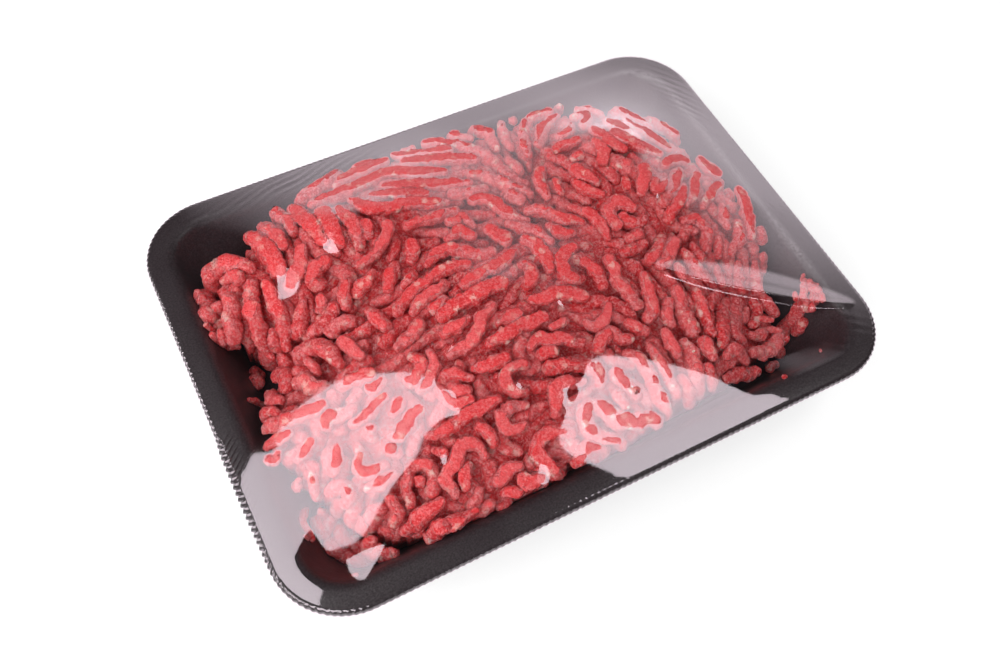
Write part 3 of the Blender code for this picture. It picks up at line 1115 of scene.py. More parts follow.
@dataclass
class StrandStock:
    """A straight strand, modelled once, that is copied and bent along each strand's way.

    Args:
        sides: Faces round the strand.
        rings: Cuts along it.
        cap_cuts: Where the cuts in its round ends lie.
        tip: Its width at the very end.
        next_to_tip: Its width at the first cut.
    """

    sides: int
    rings: int
    cap_cuts: tuple[float, ...] = (0.12, 0.45, 1.0)
    tip: float = 0.22
    next_to_tip: float = 0.62

    def __post_init__(self) -> None:
        """Model the stock: a cylinder with fanned ends, cut across into rings."""
        deselect_all()
        bpy.ops.mesh.primitive_cylinder_add(vertices=self.sides, radius=1.0, depth=1.0,
                                            end_fill_type="TRIFAN", location=(0.0, 0.0, 0.5))
        stock = bpy.context.object
        bpy.ops.object.transform_apply(location=True, rotation=True, scale=True)
        edit()
        bpy.ops.mesh.select_all(action="DESELECT")
        shape = bmesh.from_edit_mesh(stock.data)
        for edge in shape.edges:
            edge.select = abs(edge.verts[0].co.z - edge.verts[1].co.z) > 0.5
        bmesh.update_edit_mesh(stock.data)
        bpy.ops.mesh.subdivide(number_cuts=self.rings)
        bpy.ops.mesh.select_all(action="SELECT")
        bpy.ops.mesh.quads_convert_to_tris()
        edit(False)
        points = coordinates(stock)
        self.ring = np.round(points[:, 2] * (self.rings + 1)).astype(int)
        self.turn = np.arctan2(points[:, 1], points[:, 0])
        self.wide = np.hypot(points[:, 0], points[:, 1]) > 0.5
        self.faces = np.array([polygon.vertices[:] for polygon in stock.data.polygons])
        bpy.data.objects.remove(stock)

    def bent(self, path: Array, radius: float, squash: float, roll: float) -> Array:
        """Bend the stock along a path.

        Args:
            path: The strand's middle line.
            radius: Half its thickness.
            squash: How much wider than deep it is.
            roll: The turn of its section.

        Returns:
            Its points, rows of x, y, z.
        """
        steps = np.linalg.norm(np.diff(path, axis=0), axis=1)
        along = np.concatenate([[0.0], np.cumsum(steps)])
        length = along[-1]
        cap = min(0.75 * radius, 0.3 * length)
        count = self.rings + 2
        part = np.linspace(0.0, 1.0, count)
        places = part * length
        for index, share in enumerate(self.cap_cuts, 1):
            places[index] = share * cap
            places[-1 - index] = length - share * cap
        places[4:-4] = np.linspace(cap, length - cap, count - 8 + 2)[1:-1]
        middle = np.column_stack([np.interp(places, along, path[:, axis]) for axis in range(3)])
        smooth = middle.copy()
        for _ in range(2):
            smooth[1:-1] = 0.25 * smooth[:-2] + 0.5 * smooth[1:-1] + 0.25 * smooth[2:]
        smooth[:4] = middle[:4]
        smooth[-4:] = middle[-4:]
        line = np.gradient(smooth, axis=0)
        line /= np.linalg.norm(line, axis=1)[:, None] + 1e-12
        side = np.cross(line, [0.0, 0.0, 1.0])
        side += 1e-6
        side /= np.linalg.norm(side, axis=1)[:, None]
        for index in range(1, count):
            carried = side[index - 1] - line[index] * np.dot(side[index - 1], line[index])
            side[index] = carried / (np.linalg.norm(carried) + 1e-12)
        up = np.cross(side, line)
        edge = np.minimum(np.minimum(places, length - places) / cap, 1.0)
        width = radius * np.sqrt(np.maximum(1.0 - (1.0 - edge) ** 2, 0.0))
        width[[0, -1]] = radius * self.tip
        width[[1, -2]] = radius * self.next_to_tip
        turn = self.turn + roll
        reach = np.where(self.wide, width[self.ring], 0.0)
        across = reach * squash * np.cos(turn)
        deep = reach / squash * np.sin(turn)
        return smooth[self.ring] + side[self.ring] * across[:, None] + up[self.ring] * deep[:, None]


# Strands that stand out in the heap, each as plan places in millimetres.
LAID = (
    ((-91, 34), (-96, 38), (-97, 44), (-92, 48), (-86, 49), (-80, 45), (-78, 39)),
    ((-89.3, 43), (-83.3, 41.5), (-82.3, 37.9)),
    ((-88.4, 38.1), (-89.3, 32.2), (-91.1, 25.9), (-93, 21.4)),
    ((-93.5, 39.7), (-93.7, 26.9), (-95.1, 23.4)),
    ((-99, 43.6), (-97.4, 40)),
    ((-80.3, 38.1), (-82.3, 30.1), (-84, 22.2), (-83.4, 16.5), (-82.2, 10.8)),
    ((-75.8, 34.1), (-75.6, 25.8), (-76.1, 18.7), (-76.6, 14.1), (-78.2, 9)),
    ((-79.8, 18.4), (-80.4, 14.3), (-81.9, 12.5)),
    ((-59.4, 39.9), (-63.1, 33.5), (-66.7, 29.1), (-70.2, 25.3)),
    ((-66.5, 22.2), (-68.8, 17.1), (-72.4, 14), (-75, 11.5)),
    ((-56.9, 14.6), (-61.4, 12.5), (-67.6, 11.2), (-72.1, 8.5)),
    ((-59.2, 21.7), (-61.6, 26.4), (-59, 30.4), (-53.5, 30.6)),
    ((-62.1, 2.7), (-60.2, -2.4), (-58.2, -9)),
    ((-76.6, 5.8), (-71.7, 6.2), (-66.9, 2.1), (-65.9, -4.1), (-64.5, -7.3)),
    ((-83.4, 9.4), (-81.8, 2), (-81.9, -6.2)),
    ((-80.8, -4.4), (-77, -9.7), (-70.9, -10.8)),
    ((-90.9, 17.5), (-89.3, 12.4)),
    ((-50.8, 20.1), (-55, 16.7), (-57.5, 11.1)),
    ((-50.5, 8.8), (-47.7, 2.6), (-46.5, -2.8)),
    ((-61.8, 19.6), (-61, 16.3), (-64.4, 13.9)),
    ((-26.3, 25.4), (-27.3, 20.1), (-30.4, 16.5)),
    ((-35.9, -5.2), (-41.7, -8), (-48.1, -10.1)),
    ((-38.9, -15.3), (-39.5, -22.9), (-43.8, -27.3), (-47.6, -24.3)),
    ((-28.5, -24.9), (-34.2, -25.7), (-38.5, -29.2), (-36.3, -33.6), (-32.4, -32.8)),
    ((-91.2, 18.6), (-88.6, 14.2)),
    ((-78.2, 1.4), (-78.1, -4.4), (-80.3, -9.8)),
    ((-84.7, -31.9), (-87.5, -36.8), (-89.4, -42.5)),
    ((-76.9, -29.9), (-79.1, -34.9), (-83.2, -38.4)),
    ((-57, -14.2), (-65.2, -13), (-69.9, -13.6)),
    ((-54.6, -17.6), (-62.1, -19.8)),
    ((-66.3, -21.5), (-71, -22.2), (-76.1, -20.2), (-78.8, -24.7)),
    ((-56.2, -23.1), (-61.7, -24.9), (-66.8, -26.6), (-71.6, -26.5)),
    ((-63.9, -29.7), (-67.3, -31.4)),
    ((-48.1, -30.9), (-52.8, -33.6), (-59, -37.7), (-62.5, -35.1)),
    ((-64.3, -39.2), (-59.8, -41.4)),
    ((-82.9, -24.4), (-85.8, -28), (-90.9, -29.1)),
    ((-30.1, -31.7), (-32.1, -26.9), (-37, -26.1), (-41, -29.2), (-41.3, -34.2), (-37.9, -37.8),
     (-33.3, -36.3)),
    ((-12.4, -34.5), (-16.3, -32.8), (-21.1, -35.1), (-22.9, -38.9), (-20.7, -42.2), (-16.5, -41.9)),
    ((-30.3, -28.6), (-23.6, -29.5), (-16.5, -29.7)),
    ((-52.1, -41.3), (-45.7, -42.2), (-38.7, -42), (-32.5, -40.1), (-24.9, -40.7)),
    ((-18.5, -46.6), (-22.5, -43.1), (-26.8, -44.5), (-28.2, -49.1), (-26.2, -52), (-21.4, -51.3)),
    ((-66.1, -60.3), (-64.3, -54.6), (-60.2, -49.4), (-55.7, -48.9), (-54, -52.8), (-56.5, -57.2),
     (-60.6, -57.4)),
    ((-57.2, -50.3), (-59.7, -53.8)),
    ((-54.5, -61.5), (-60.3, -62.1), (-66.4, -62.7), (-71.4, -61.6)),
    ((-70.3, -52), (-68.8, -57.1), (-68, -64.4)),
    ((-79.8, -57.6), (-78.3, -61.9), (-76.3, -64.8)),
    ((-37.7, -55.7), (-38.8, -49.4), (-43.3, -47.9), (-48.1, -51.7), (-51, -56.8), (-51.6, -63.2)),
    ((-43, -54.2), (-47.7, -58.7), (-47.2, -62.9)),
    ((-63.8, -68.5), (-58, -69.5), (-52.1, -71.1), (-46.4, -73.1)),
    ((-88.9, -44.9), (-88.4, -48), (-85.7, -53.7), (-81.1, -59.1)),
    ((-76, -52.5), (-71.1, -56.5)),
    ((-44.9, -61.7), (-47.1, -66.1), (-46.7, -71.2), (-41.5, -73.9)),
    ((-27.7, -61.9), (-34, -62.3), (-39.9, -65.4)),
    ((-37.8, -68), (-34.8, -72.1), (-32.4, -74.2)),
    ((-36.5, -44.7), (-33.5, -49.1), (-35.9, -54)),
    ((-71, -36.1), (-74.2, -39.3), (-71.8, -43.3), (-64.9, -43)),
    ((-44.9, -14.7), (-41.8, -19.5), (-45.1, -24.7), (-49.3, -24.2)),
    ((-51.1, -46.3), (-47.8, -50.2)),
    ((29.6, 41.9), (32.2, 52.3), (37.4, 59.9), (45.8, 63.4), (51.1, 61.2)),
    ((35, 44.4), (39.2, 51.8), (46.8, 57.7), (51.5, 58.3)),
    ((57.6, 59.2), (67, 50.7)),
    ((53.7, 54.7), (60, 54), (55.7, 45.4)),
    ((37.7, 40), (43.2, 40.6), (49.6, 39.1)),
    ((40.9, 33), (47, 32.9)),
    ((53.7, 37.3), (53.6, 30), (49.2, 24.3)),
    ((-19.8, -0.1), (-11.5, 1.7), (-2.5, 2.8), (4.9, 6.7)),
    ((8.7, 10), (11.8, 5.8), (11.8, -2.9), (10.4, -7.9)),
    ((-0.6, 32.9), (6.7, 31.5), (8.8, 22.1), (15.3, 15.6)),
    ((1.3, -0.8), (6.4, -0.3), (3.8, -6.8), (-1.4, -9.5)),
    ((77.2, 14.4), (69.5, 7), (62.4, 0.6)),
    ((69.2, 16.3), (76.9, 17.7), (82.9, 15.8)),
    ((64.8, 12.8), (62.6, 7.5), (70, 8.4)),
    ((83.5, 10.7), (74.9, 4.6), (69.5, -1.3)),
    ((68.7, -10.1), (64.9, -7.1), (60.2, -10.9)),
    ((58.6, -9.2), (51.3, -14.1), (43.9, -15.9)),
    ((63.4, 19.7), (60.2, 12.6), (55.5, 8)),
    ((54.4, 17.1), (51.9, 11.1)),
    ((64.8, 47.3), (65.2, 38), (70.3, 30.2)),
    ((56.3, 44.7), (56.2, 34.4), (61.1, 26.5)),
    ((30.3, 35.8), (26.5, 27), (25.7, 20.1)),
    ((32, 28), (30.6, 19.9)),
    ((39.4, 30.2), (41.8, 23.8), (44.6, 17.8)),
    ((-15.6, 20.1), (-9, 22), (-5.1, 16.3)),
    ((-12.4, 26.8), (-5.6, 26.7), (-2.9, 20.6)),
    ((-1.3, 19.8), (2, 14.9), (4.4, 8.5)),
    ((74.4, 8.3), (66.5, 3.7), (62.3, -2.3), (61.4, -5.8)),
    ((63, -7.7), (68.5, -5.5), (69.9, -9.7), (68.2, -15.2), (67.4, -20.4)),
    ((89.2, 4.3), (81.1, 0.9), (75.7, -4.1)),
    ((86, -11.3), (84.8, -16.9), (80.2, -20.5), (75.3, -20.6)),
    ((59.8, -9.8), (54.1, -14), (46.7, -19.2)),
    ((40.9, -18.8), (38.8, -24.9), (37.8, -32), (32, -35.8)),
    ((48.8, -27.7), (47, -35), (46.2, -42.4), (46.8, -46.6)),
    ((55.3, -30.5), (53.6, -38.2), (52, -46.1), (51.1, -49)),
    ((67.1, -32.4), (59.2, -36.1), (55.2, -39.3)),
    ((68.9, -34.2), (62.9, -41.4), (56.3, -47.7), (50.3, -52.7)),
    ((73, -35.3), (64.7, -42.9), (61.4, -50.2), (63.9, -53.5)),
    ((63.9, -56.2), (70.9, -57.6), (78.9, -55.2), (82.4, -49.7)),
    ((100.5, -47.2), (93.4, -47.4), (81.1, -55.2)),
    ((68.3, -49.2), (78, -49.8)),
    ((93.8, -52.4), (90.1, -51.9)),
    ((51.2, -55.6), (58.2, -55), (61.3, -59.7)),
    ((48.1, -61.5), (54.7, -61.6), (62.6, -60.7), (66.6, -58.5)),
    ((80, -58.9), (74.8, -59.1)),
    ((48.1, -47), (47.6, -52.7), (47.4, -56.7)),
    ((11.6, -40), (13.8, -35.3), (19.2, -33.7), (21.8, -38.7), (25.6, -38.1)),
    ((12.4, -26.6), (14.6, -31.4), (20.1, -29.2), (23.3, -25.1)),
    ((25.2, -31.7), (27.7, -36.2), (33, -37.4)),
    ((36.5, -39.9), (36.8, -44.6), (36.4, -50.7)),
    ((75.3, -14), (75, -18.9), (74.2, -22.7)),
    ((80.1, -36.7), (77.9, -43.3), (72.3, -47.5)),
    ((36.8, -10), (41.4, -9.3), (49.3, -8.5)),
    ((49.8, -4.3), (41.6, -5.3)),
    ((44.3, -30.6), (39.8, -36.5), (40, -41)),
)


# The passes that fill a level: share of the tries, longest and shortest strand in millimetres,
# share that curl up, and how closely a strand may pass by another.
PASSES = (
    (0.5, 60.0, 24.0, 0.30, 1.0),
    (1.0, 38.0, 14.0, 0.40, 1.0),
    (0.5, 18.0, 9.0, 0.0, 1.12),
)

# Lumps on a strand: how far they push it out, their width in millimetres, and a seed.
LUMPS = ((0.18, 3.3, 0.0), (0.18, 1.7, 9.0), (0.19, 1.0, 21.0))

# The stray clump's bits: start and end from its middle, and radius, in millimetres.
CLUMP = (
    ((-3.2, -4.6, -3.6), (-1.6, -0.6, -0.6), 1.7),
    ((-2.6, -1.0, -1.8), (-0.8, 3.4, 1.0), 1.9),
    ((-0.2, -4.6, 0.6), (0.8, 0.6, 1.8), 1.7),
    ((-1.6, 2.6, 0.2), (1.2, 5.6, 1.8), 1.5),
    ((-2.6, -5.4, -2.6), (-1.2, -3.2, 0.2), 1.4),
    ((1.4, -5.4, 1.8), (2.2, -1.6, 2.2), 1.3),
    ((-3.8, 0.8, -3.4), (-3.2, 4.2, -1.8), 1.3),
    ((1.6, 1.4, 2.0), (1.0, 4.6, 2.4), 1.3),
    ((-0.6, 5.2, 0.8), (1.6, 7.2, 2.2), 1.0),
    ((2.4, -1.2, 2.2), (3.0, 1.8, 2.6), 1.1),
    ((-3.8, -3.6, -4.6), (-3.4, -1.0, -3.0), 1.2),
    ((-1.8, -3.0, 0.2), (0.8, -1.4, 1.6), 1.4),
)

# Thin torn ends that stick out of the heap: start, end and radius, in millimetres.
SHREDS = (
    ((-99.6, 30.5, 21.5), (-92.0, 27.0, 23.0), 1.0),
    ((-99.0, 26.5, 19.0), (-91.0, 24.0, 21.0), 1.2),
    ((-92.5, -38.0, 14.0), (-95.8, -44.0, 9.5), 1.3),
    ((-95.8, -44.0, 9.5), (-95.0, -51.0, 7.0), 1.1),
    ((82.0, -52.5, 21.0), (75.0, -49.0, 21.0), 1.3),
    ((83.5, -55.5, 18.5), (76.0, -54.5, 18.5), 1.5),
    ((80.0, -49.5, 24.0), (74.0, -45.0, 23.0), 1.2),
    ((-96.0, 3.0, 12.0), (-88.5, 3.5, 13.0), 1.2),
    ((-91.0, -3.0, 8.0), (-86.0, -7.0, 9.0), 1.1),
)

# Crumbs: plan place in millimetres, heading in radians, and radius in millimetres.
CRUMBS = (
    (-4.0, 66.6, 0.4, 1.1),
    (0.8, 66.0, 1.6, 1.3),
    (-96.5, -50.0, 1.9, 0.8),
    (88.5, -66.0, 0.9, 0.7),
    (-88.0, -68.0, 2.4, 0.8),
    (66.0, -71.5, 0.2, 0.9),
)


@dataclass
class Mince:
    """The heap of minced beef: strands over a core, a stray clump and crumbs.

    The strands' middles keep clearance from each other and rim_room from the tray's edge.
    Each level has its depth in millimetres and how many places are tried on it.  Strands are
    stout at the far left, up to stout_until.
    """

    radius: float = 2.6 * MM
    clearance: float = 3.95 * MM
    sides: int = 16
    ring_space: float = 0.62 * MM
    pieces: int = 6
    rim_room: float = 12.5 * MM
    rounds: int = 90
    stout: float = 1.12
    stout_until: float = -52.0 * MM
    levels: tuple[tuple[float, int], ...] = ((0.0, 16000), (3.4, 9000), (6.8, 5000))
    finish: BeefFinish = BeefFinish()

    def __post_init__(self) -> None:
        """Read the room that the heap has from the frame."""
        low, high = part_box("mince")
        half_x = max(-low.x, high.x) + 8.0 * MM
        half_y = max(-low.y, high.y) + 4.0 * MM
        self.top = HeightGrid.over(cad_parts["mince"], 1.0 * MM, half_x, half_y, 0.0)
        self.tray = HeightGrid.over(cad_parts["tray"], 1.0 * MM, half_x, half_y, 0.0)
        self.noise = ValueNoise(11)
        self.rng = np.random.default_rng(5)
        self.stocks: dict[int, StrandStock] = {}
        self.beef = self.finish.make()

    def lay(self) -> list[Array]:
        """Lay the strands, from the top level down.

        Returns:
            Their middle lines.
        """
        rest = self.tray.like(self.tray.heights + 0.85 * self.radius)
        strands = []
        for level, (depth, tries) in enumerate(self.levels):
            surface = self.top.eroded(self.radius + depth * MM)
            tracer = StrandTracer(surface, rest, self.clearance, 20 + level)
            if level == 0:
                strands += [tracer.laid(places) for places in LAID]
            for share, longest, shortest, curled, limit in PASSES:
                tracer.limit = limit
                strands += tracer.lay_all(int(tries * share), longest * MM, shortest * MM, curled)
            log.info("level %d: %d strands", level, len(strands))
        pile = Pile(strands, self.clearance, 2.0 * MM)
        ceiling = self.top.eroded(self.radius)
        ceiling.heights = np.maximum(ceiling.heights, rest.heights)
        tray_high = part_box("tray")[1]
        pile.relax(self.rounds, ceiling, rest, (tray_high.x - self.rim_room, tray_high.y - self.rim_room))
        return pile.strands()

    def lumpy(self, points: Array, middle: Array, radius: float) -> Array:
        """Push a strand's points in and out, as coarse meat is.

        Args:
            points: Rows of x, y, z.
            middle: The middle line at each of them.
            radius: Half the strand's thickness.

        Returns:
            The new rows.
        """
        out = (points - middle) / radius
        swell = sum(size * self.noise.at(points / (lump * MM) + seed) for size, lump, seed in LUMPS)
        shift = np.column_stack([self.noise.at(middle / (4.5 * MM) + seed) for seed in (3.0, 15.0, 30.0)])
        return points + out * (radius * swell)[:, None] + 0.45 * MM * shift

    def strand(self, path: Array, radius: float) -> tuple[Array, Array]:
        """Shape one strand.

        Args:
            path: Its middle line.
            radius: Half its thickness.

        Returns:
            Its points and its faces.
        """
        length = np.linalg.norm(np.diff(path, axis=0), axis=1).sum()
        rings = int(np.clip(6 * round(length / self.ring_space / 6), 12, 96))
        if rings not in self.stocks:
            self.stocks[rings] = StrandStock(self.sides, rings)
        stock = self.stocks[rings]
        squash = float(self.rng.uniform(0.90, 1.14))
        roll = float(self.rng.uniform(0.0, math.tau))
        points = stock.bent(path, radius, squash, roll)
        middle = stock.bent(path, 1e-6, 1.0, roll)
        points = self.lumpy(points, middle, radius)
        for end, thin in zip((path[0], path[-1]), self.rng.uniform(0.50, 1.0, 2)):
            away = np.linalg.norm(middle - end, axis=1) / (2.4 * radius)
            points = middle + (points - middle) * (thin + (1.0 - thin) * np.clip(away, 0.0, 1.0))[:, None]
        return points, stock.faces

    def joined(self, name: str, strands: list[tuple[Array, Array]]) -> Piece:
        """Join strands into one piece, each with its own tone.

        Args:
            name: The piece's name.
            strands: Their points and faces.

        Returns:
            The piece.
        """
        offset = 0
        all_points = []
        all_faces = []
        tones = []
        for points, faces in strands:
            all_points.append(points)
            all_faces.append(faces + offset)
            tones.append(np.full(len(points), float(self.rng.uniform())))
            offset += len(points)
        piece = mesh_piece(name, np.concatenate(all_points), np.concatenate(all_faces))
        piece.data.shade_smooth()
        set_attribute(piece, "tone", np.concatenate(tones))
        set_attribute(piece, "press", -1.0)
        log.info("%s: %d triangles", name, len(piece.data.polygons))
        return piece

    def build(self) -> list[Piece]:
        """Build the heap's strands.

        Returns:
            The pieces.
        """
        strands = self.lay()
        groups = [[] for _ in range(self.pieces)]
        middles = np.array([path.mean(0)[0] for path in strands])
        cuts = np.quantile(middles, np.linspace(0.0, 1.0, self.pieces + 1)[1:-1])
        for path, group in zip(strands, np.searchsorted(cuts, middles)):
            middle = path.mean(0)
            stout = self.stout if middle[0] < self.stout_until and middle[1] > 0.0 else 1.0
            radius = self.radius * stout * float(self.rng.uniform(0.86, 1.10))
            groups[group].append(self.strand(path, radius))
        for start, end, radius in SHREDS:
            path = straight(start, end, 5)
            path[:, 2] = np.maximum(path[:, 2], self.tray.at(path[:, 0], path[:, 1]) + 0.9 * radius * MM)
            group = int(np.searchsorted(cuts, path.mean(0)[0]))
            groups[group].append(self.strand(path, radius * MM))
        return [self.joined(f"beef_strands_{index + 1}", group) for index, group in enumerate(groups)]

    def build_clump(self) -> Piece:
        """Build the stray clump that clings to the tray's end wall.

        Returns:
            The piece.
        """
        low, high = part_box("loose_clump")
        middle = np.array((low + high) / 2.0)
        bits = [self.strand(middle + straight(start, end, 6), radius * MM) for start, end, radius in CLUMP]
        return self.joined("loose_beef", bits)

    def build_crumbs(self) -> Piece:
        """Build the crumbs that lie on the tray's walls.

        Returns:
            The piece.
        """
        crumbs = []
        for x, y, lean, radius in CRUMBS:
            place = np.array([x * MM, y * MM, 0.0])
            reach = np.array([math.cos(lean), math.sin(lean), 0.0]) * 1.3 * radius * MM
            path = np.array([place - reach, place, place + reach])
            path[:, 2] = self.tray.at(path[:, 0], path[:, 1]) + 0.8 * radius * MM
            crumbs.append(self.strand(path, radius * MM))
        return self.joined("beef_crumbs", crumbs)

    def dress(self, strands: list[Piece], film: "StretchFilm") -> None:
        """Dress the heap, with its strands pressed flat under the film.

        Args:
            strands: The heap's strands.
            film: The film over them.
        """
        for piece in strands:
            film.press(piece)
            settle(piece, self.beef, Slot.BEEF, "mince")
        settle(HeapCore(self.top, self.tray).build(), self.beef, Slot.BEEF, "mince")

    def dress_strays(self) -> None:
        """Dress what lies apart from the heap."""
        settle(self.build_clump(), self.beef, Slot.BEEF, "loose_clump")
        settle(self.build_crumbs(), self.beef, Slot.BEEF)


@dataclass(frozen=True)
class Press:
    """A place where the film was drawn hard over the meat.

    Args:
        x: Its middle.
        y: Its middle.
        reach: How far it is felt.
        depth: How deep the film sinks into the strands there.
    """

    x: float
    y: float
    reach: float
    depth: float


# Where the film sinks deeper into the strands than elsewhere.
PRESSES = (
    Press(-0.050, 0.048, 0.020, 1.2 * MM),
    Press(-0.018, 0.050, 0.016, 1.0 * MM),
    Press(0.006, 0.050, 0.012, 0.6 * MM),
    Press(-0.022, 0.010, 0.014, 0.5 * MM),
    Press(0.030, 0.004, 0.016, 0.9 * MM),
    Press(0.086, 0.006, 0.010, 0.7 * MM),
    Press(-0.074, 0.023, 0.009, 1.6 * MM),
    Press(-0.002, -0.027, 0.009, 1.2 * MM),
    Press(-0.023, -0.066, 0.012, 2.0 * MM),
    Press(-0.023, -0.052, 0.008, 1.2 * MM),
)


@dataclass(frozen=True)
class Pleat:
    """A patch of fine folds in the film.

    Args:
        x: Its middle.
        y: Its middle.
        reach_x: How far it runs in x.
        reach_y: How far it runs in y.
        heading: The folds' direction in plan, in degrees from +X.
        pitch: The distance from fold to fold.
        height: How high a fold stands.
    """

    x: float
    y: float
    reach_x: float
    reach_y: float
    heading: float
    pitch: float
    height: float


# Where the film is gathered near the rim.
PLEATS = (
    Pleat(-0.052, 0.073, 0.026, 0.005, 20.0, 3.4 * MM, 0.16 * MM),
    Pleat(0.101, 0.046, 0.005, 0.018, -51.0, 3.0 * MM, 0.14 * MM),
    Pleat(-0.101, 0.018, 0.004, 0.010, 40.0, 3.0 * MM, 0.09 * MM),
    Pleat(0.094, -0.066, 0.008, 0.006, -35.0, 3.6 * MM, 0.04 * MM),
)


# Where the film hangs a little lower between the heap and the rim.
SAGS = (
    Press(-0.0933, -0.0732, 0.0202, 1.08 * MM),
    Press(0.0769, -0.0710, 0.0155, 1.45 * MM),
)


def press_depth(x: Array, y: Array) -> Array:
    """Tell how deep the film sinks into the highest strands.

    Args:
        x: Plan positions.
        y: Plan positions.

    Returns:
        One depth for each.
    """
    depth = np.full(np.shape(x), 1.05 * MM)
    for press in PRESSES:
        depth += press.depth * np.exp(-((x - press.x) ** 2 + (y - press.y) ** 2) / press.reach ** 2)
    return depth


def rim_inset(x: Array, y: Array, half_x: float, half_y: float, corner: float) -> Array:
    """Measure how far in from a round-cornered rim plan positions lie.

    Args:
        x: The positions' x.
        y: Their y.
        half_x: Half of the rim's length.
        half_y: Half of its width.
        corner: The radius of its corners.

    Returns:
        One distance for each.
    """
    over_x = np.abs(x) - (half_x - corner)
    over_y = np.abs(y) - (half_y - corner)
    reach = np.hypot(np.maximum(over_x, 0.0), np.maximum(over_y, 0.0))
    return corner - reach - np.minimum(np.maximum(over_x, over_y), 0.0)


def rim_loop(count: int, half_x: float, half_y: float, corner: float) -> Array:
    """Return evenly spaced plan positions of a loop that runs anticlockwise round the rim.

    Args:
        count: How many positions.
        half_x: Half of the rim's length.
        half_y: Half of its width.
        corner: The radius of its corners.

    Returns:
        Rows of x and y.
    """
    long = 2.0 * (half_x - corner)
    short = 2.0 * (half_y - corner)
    arc = corner * math.pi / 2.0
    around = 2.0 * (long + short) + 4.0 * arc
    run = np.arange(count) / count * around
    points = np.empty((count, 2))
    start = 0.0
    heading = 0.0
    place = np.array([-half_x + corner, -half_y])
    for straight in (long, short, long, short):
        ahead = np.array([math.cos(heading), math.sin(heading)])
        outer = np.array([math.sin(heading), -math.cos(heading)])
        on = (run >= start) & (run < start + straight)
        points[on] = place + ahead * (run[on] - start)[:, None]
        place = place + ahead * straight
        start += straight
        middle = place - outer * corner
        on = (run >= start) & (run < start + arc)
        turn = heading - math.pi / 2.0 + (run[on] - start) / corner
        points[on] = middle + np.column_stack([np.cos(turn), np.sin(turn)]) * corner
        heading += math.pi / 2.0
        place = middle + corner * np.array([math.sin(heading), -math.cos(heading)])
        start += arc
    return points


def ringed_tube(name: str, around: int, rings: int) -> tuple[Piece, Array, Array]:
    """Model an open tube of even rings, ready to be shaped ring by ring.

    Args:
        name: The piece's name.
        around: How many vertices a ring has.
        rings: How many rings.

    Returns:
        The object, and each vertex's ring and its place round the ring.
    """
    deselect_all()
    bpy.ops.mesh.primitive_cylinder_add(vertices=around, radius=1.0, depth=1.0, end_fill_type="NOTHING",
                                        location=(0.0, 0.0, 0.5))
    tube = bpy.context.object
    tube.name = name
    bpy.ops.object.transform_apply(location=True, rotation=True, scale=True)
    edit()
    bpy.ops.mesh.select_all(action="DESELECT")
    shape = bmesh.from_edit_mesh(tube.data)
    for edge in shape.edges:
        edge.select = abs(edge.verts[0].co.z - edge.verts[1].co.z) > 0.5
    bmesh.update_edit_mesh(tube.data)
    if rings > 2:
        bpy.ops.mesh.subdivide(number_cuts=rings - 2)
    edit(False)
    points = coordinates(tube)
    ring = np.round(points[:, 2] * (rings - 1)).astype(int)
    turn = np.arctan2(points[:, 1], points[:, 0])
    place = np.round(turn / math.tau * around).astype(int) % around
    return tube, ring, place


@dataclass
class HeapCore:
    """The body of the heap under its outer strands, with a relief of packed meat.

    Args:
        top: The heap's outer surface.
        tray: The tray's upper surface.
    """

    top: HeightGrid
    tray: HeightGrid
    depth: float = 6.6 * MM
    step: float = 1.5 * MM
    relief: float = 1.3 * MM
    lump: float = 3.6 * MM
    grain: float = 1.7 * MM
    clear: float = 0.4 * MM
    thinnest: float = 1.0 * MM
    margin: float = 2.0 * MM

    def build(self) -> Piece:
        """Build the core.

        Returns:
            The piece.
        """
        surface = self.top.eroded(self.depth)
        x, y = self.top.axes()
        core = plan_sheet("beef_core", -x[0] - self.margin, -y[0] - self.margin, self.step)
        points = coordinates(core)
        x, y, _ = points.T
        packed = ValueNoise(71).at(spread(x, y, self.lump))
        fine = ValueNoise(72).at(spread(x, y, self.grain))
        height = surface.at(x, y) + self.relief * (0.7 * packed + 0.3 * fine)
        under = self.tray.at(x, y) + self.clear
        keep = height > under + self.thinnest
        points[:, 2] = np.maximum(height, under)
        set_coordinates(core, points)
        choose_vertices(core, ~keep)
        bpy.ops.mesh.delete(type="VERT")
        bpy.ops.mesh.select_all(action="SELECT")
        bpy.ops.mesh.duplicate()
        bpy.ops.mesh.flip_normals()
        edit(False)
        points = coordinates(core)
        chosen = np.empty(len(points), bool)
        core.data.vertices.foreach_get("select", chosen)
        points[chosen, 2] = self.tray.at(points[chosen, 0], points[chosen, 1]) + self.clear
        set_coordinates(core, points)
        edit()
        bpy.ops.mesh.select_all(action="DESELECT")
        bpy.ops.mesh.select_mode(type="EDGE")
        choose_border()
        bpy.ops.mesh.bridge_edge_loops(type="PAIRS")
        face_outwards(core)
        set_attribute(core, "tone", 0.1)
        set_attribute(core, "press", -1.0)
        return core


Drawn = tuple[Piece, Array, Array, Array]


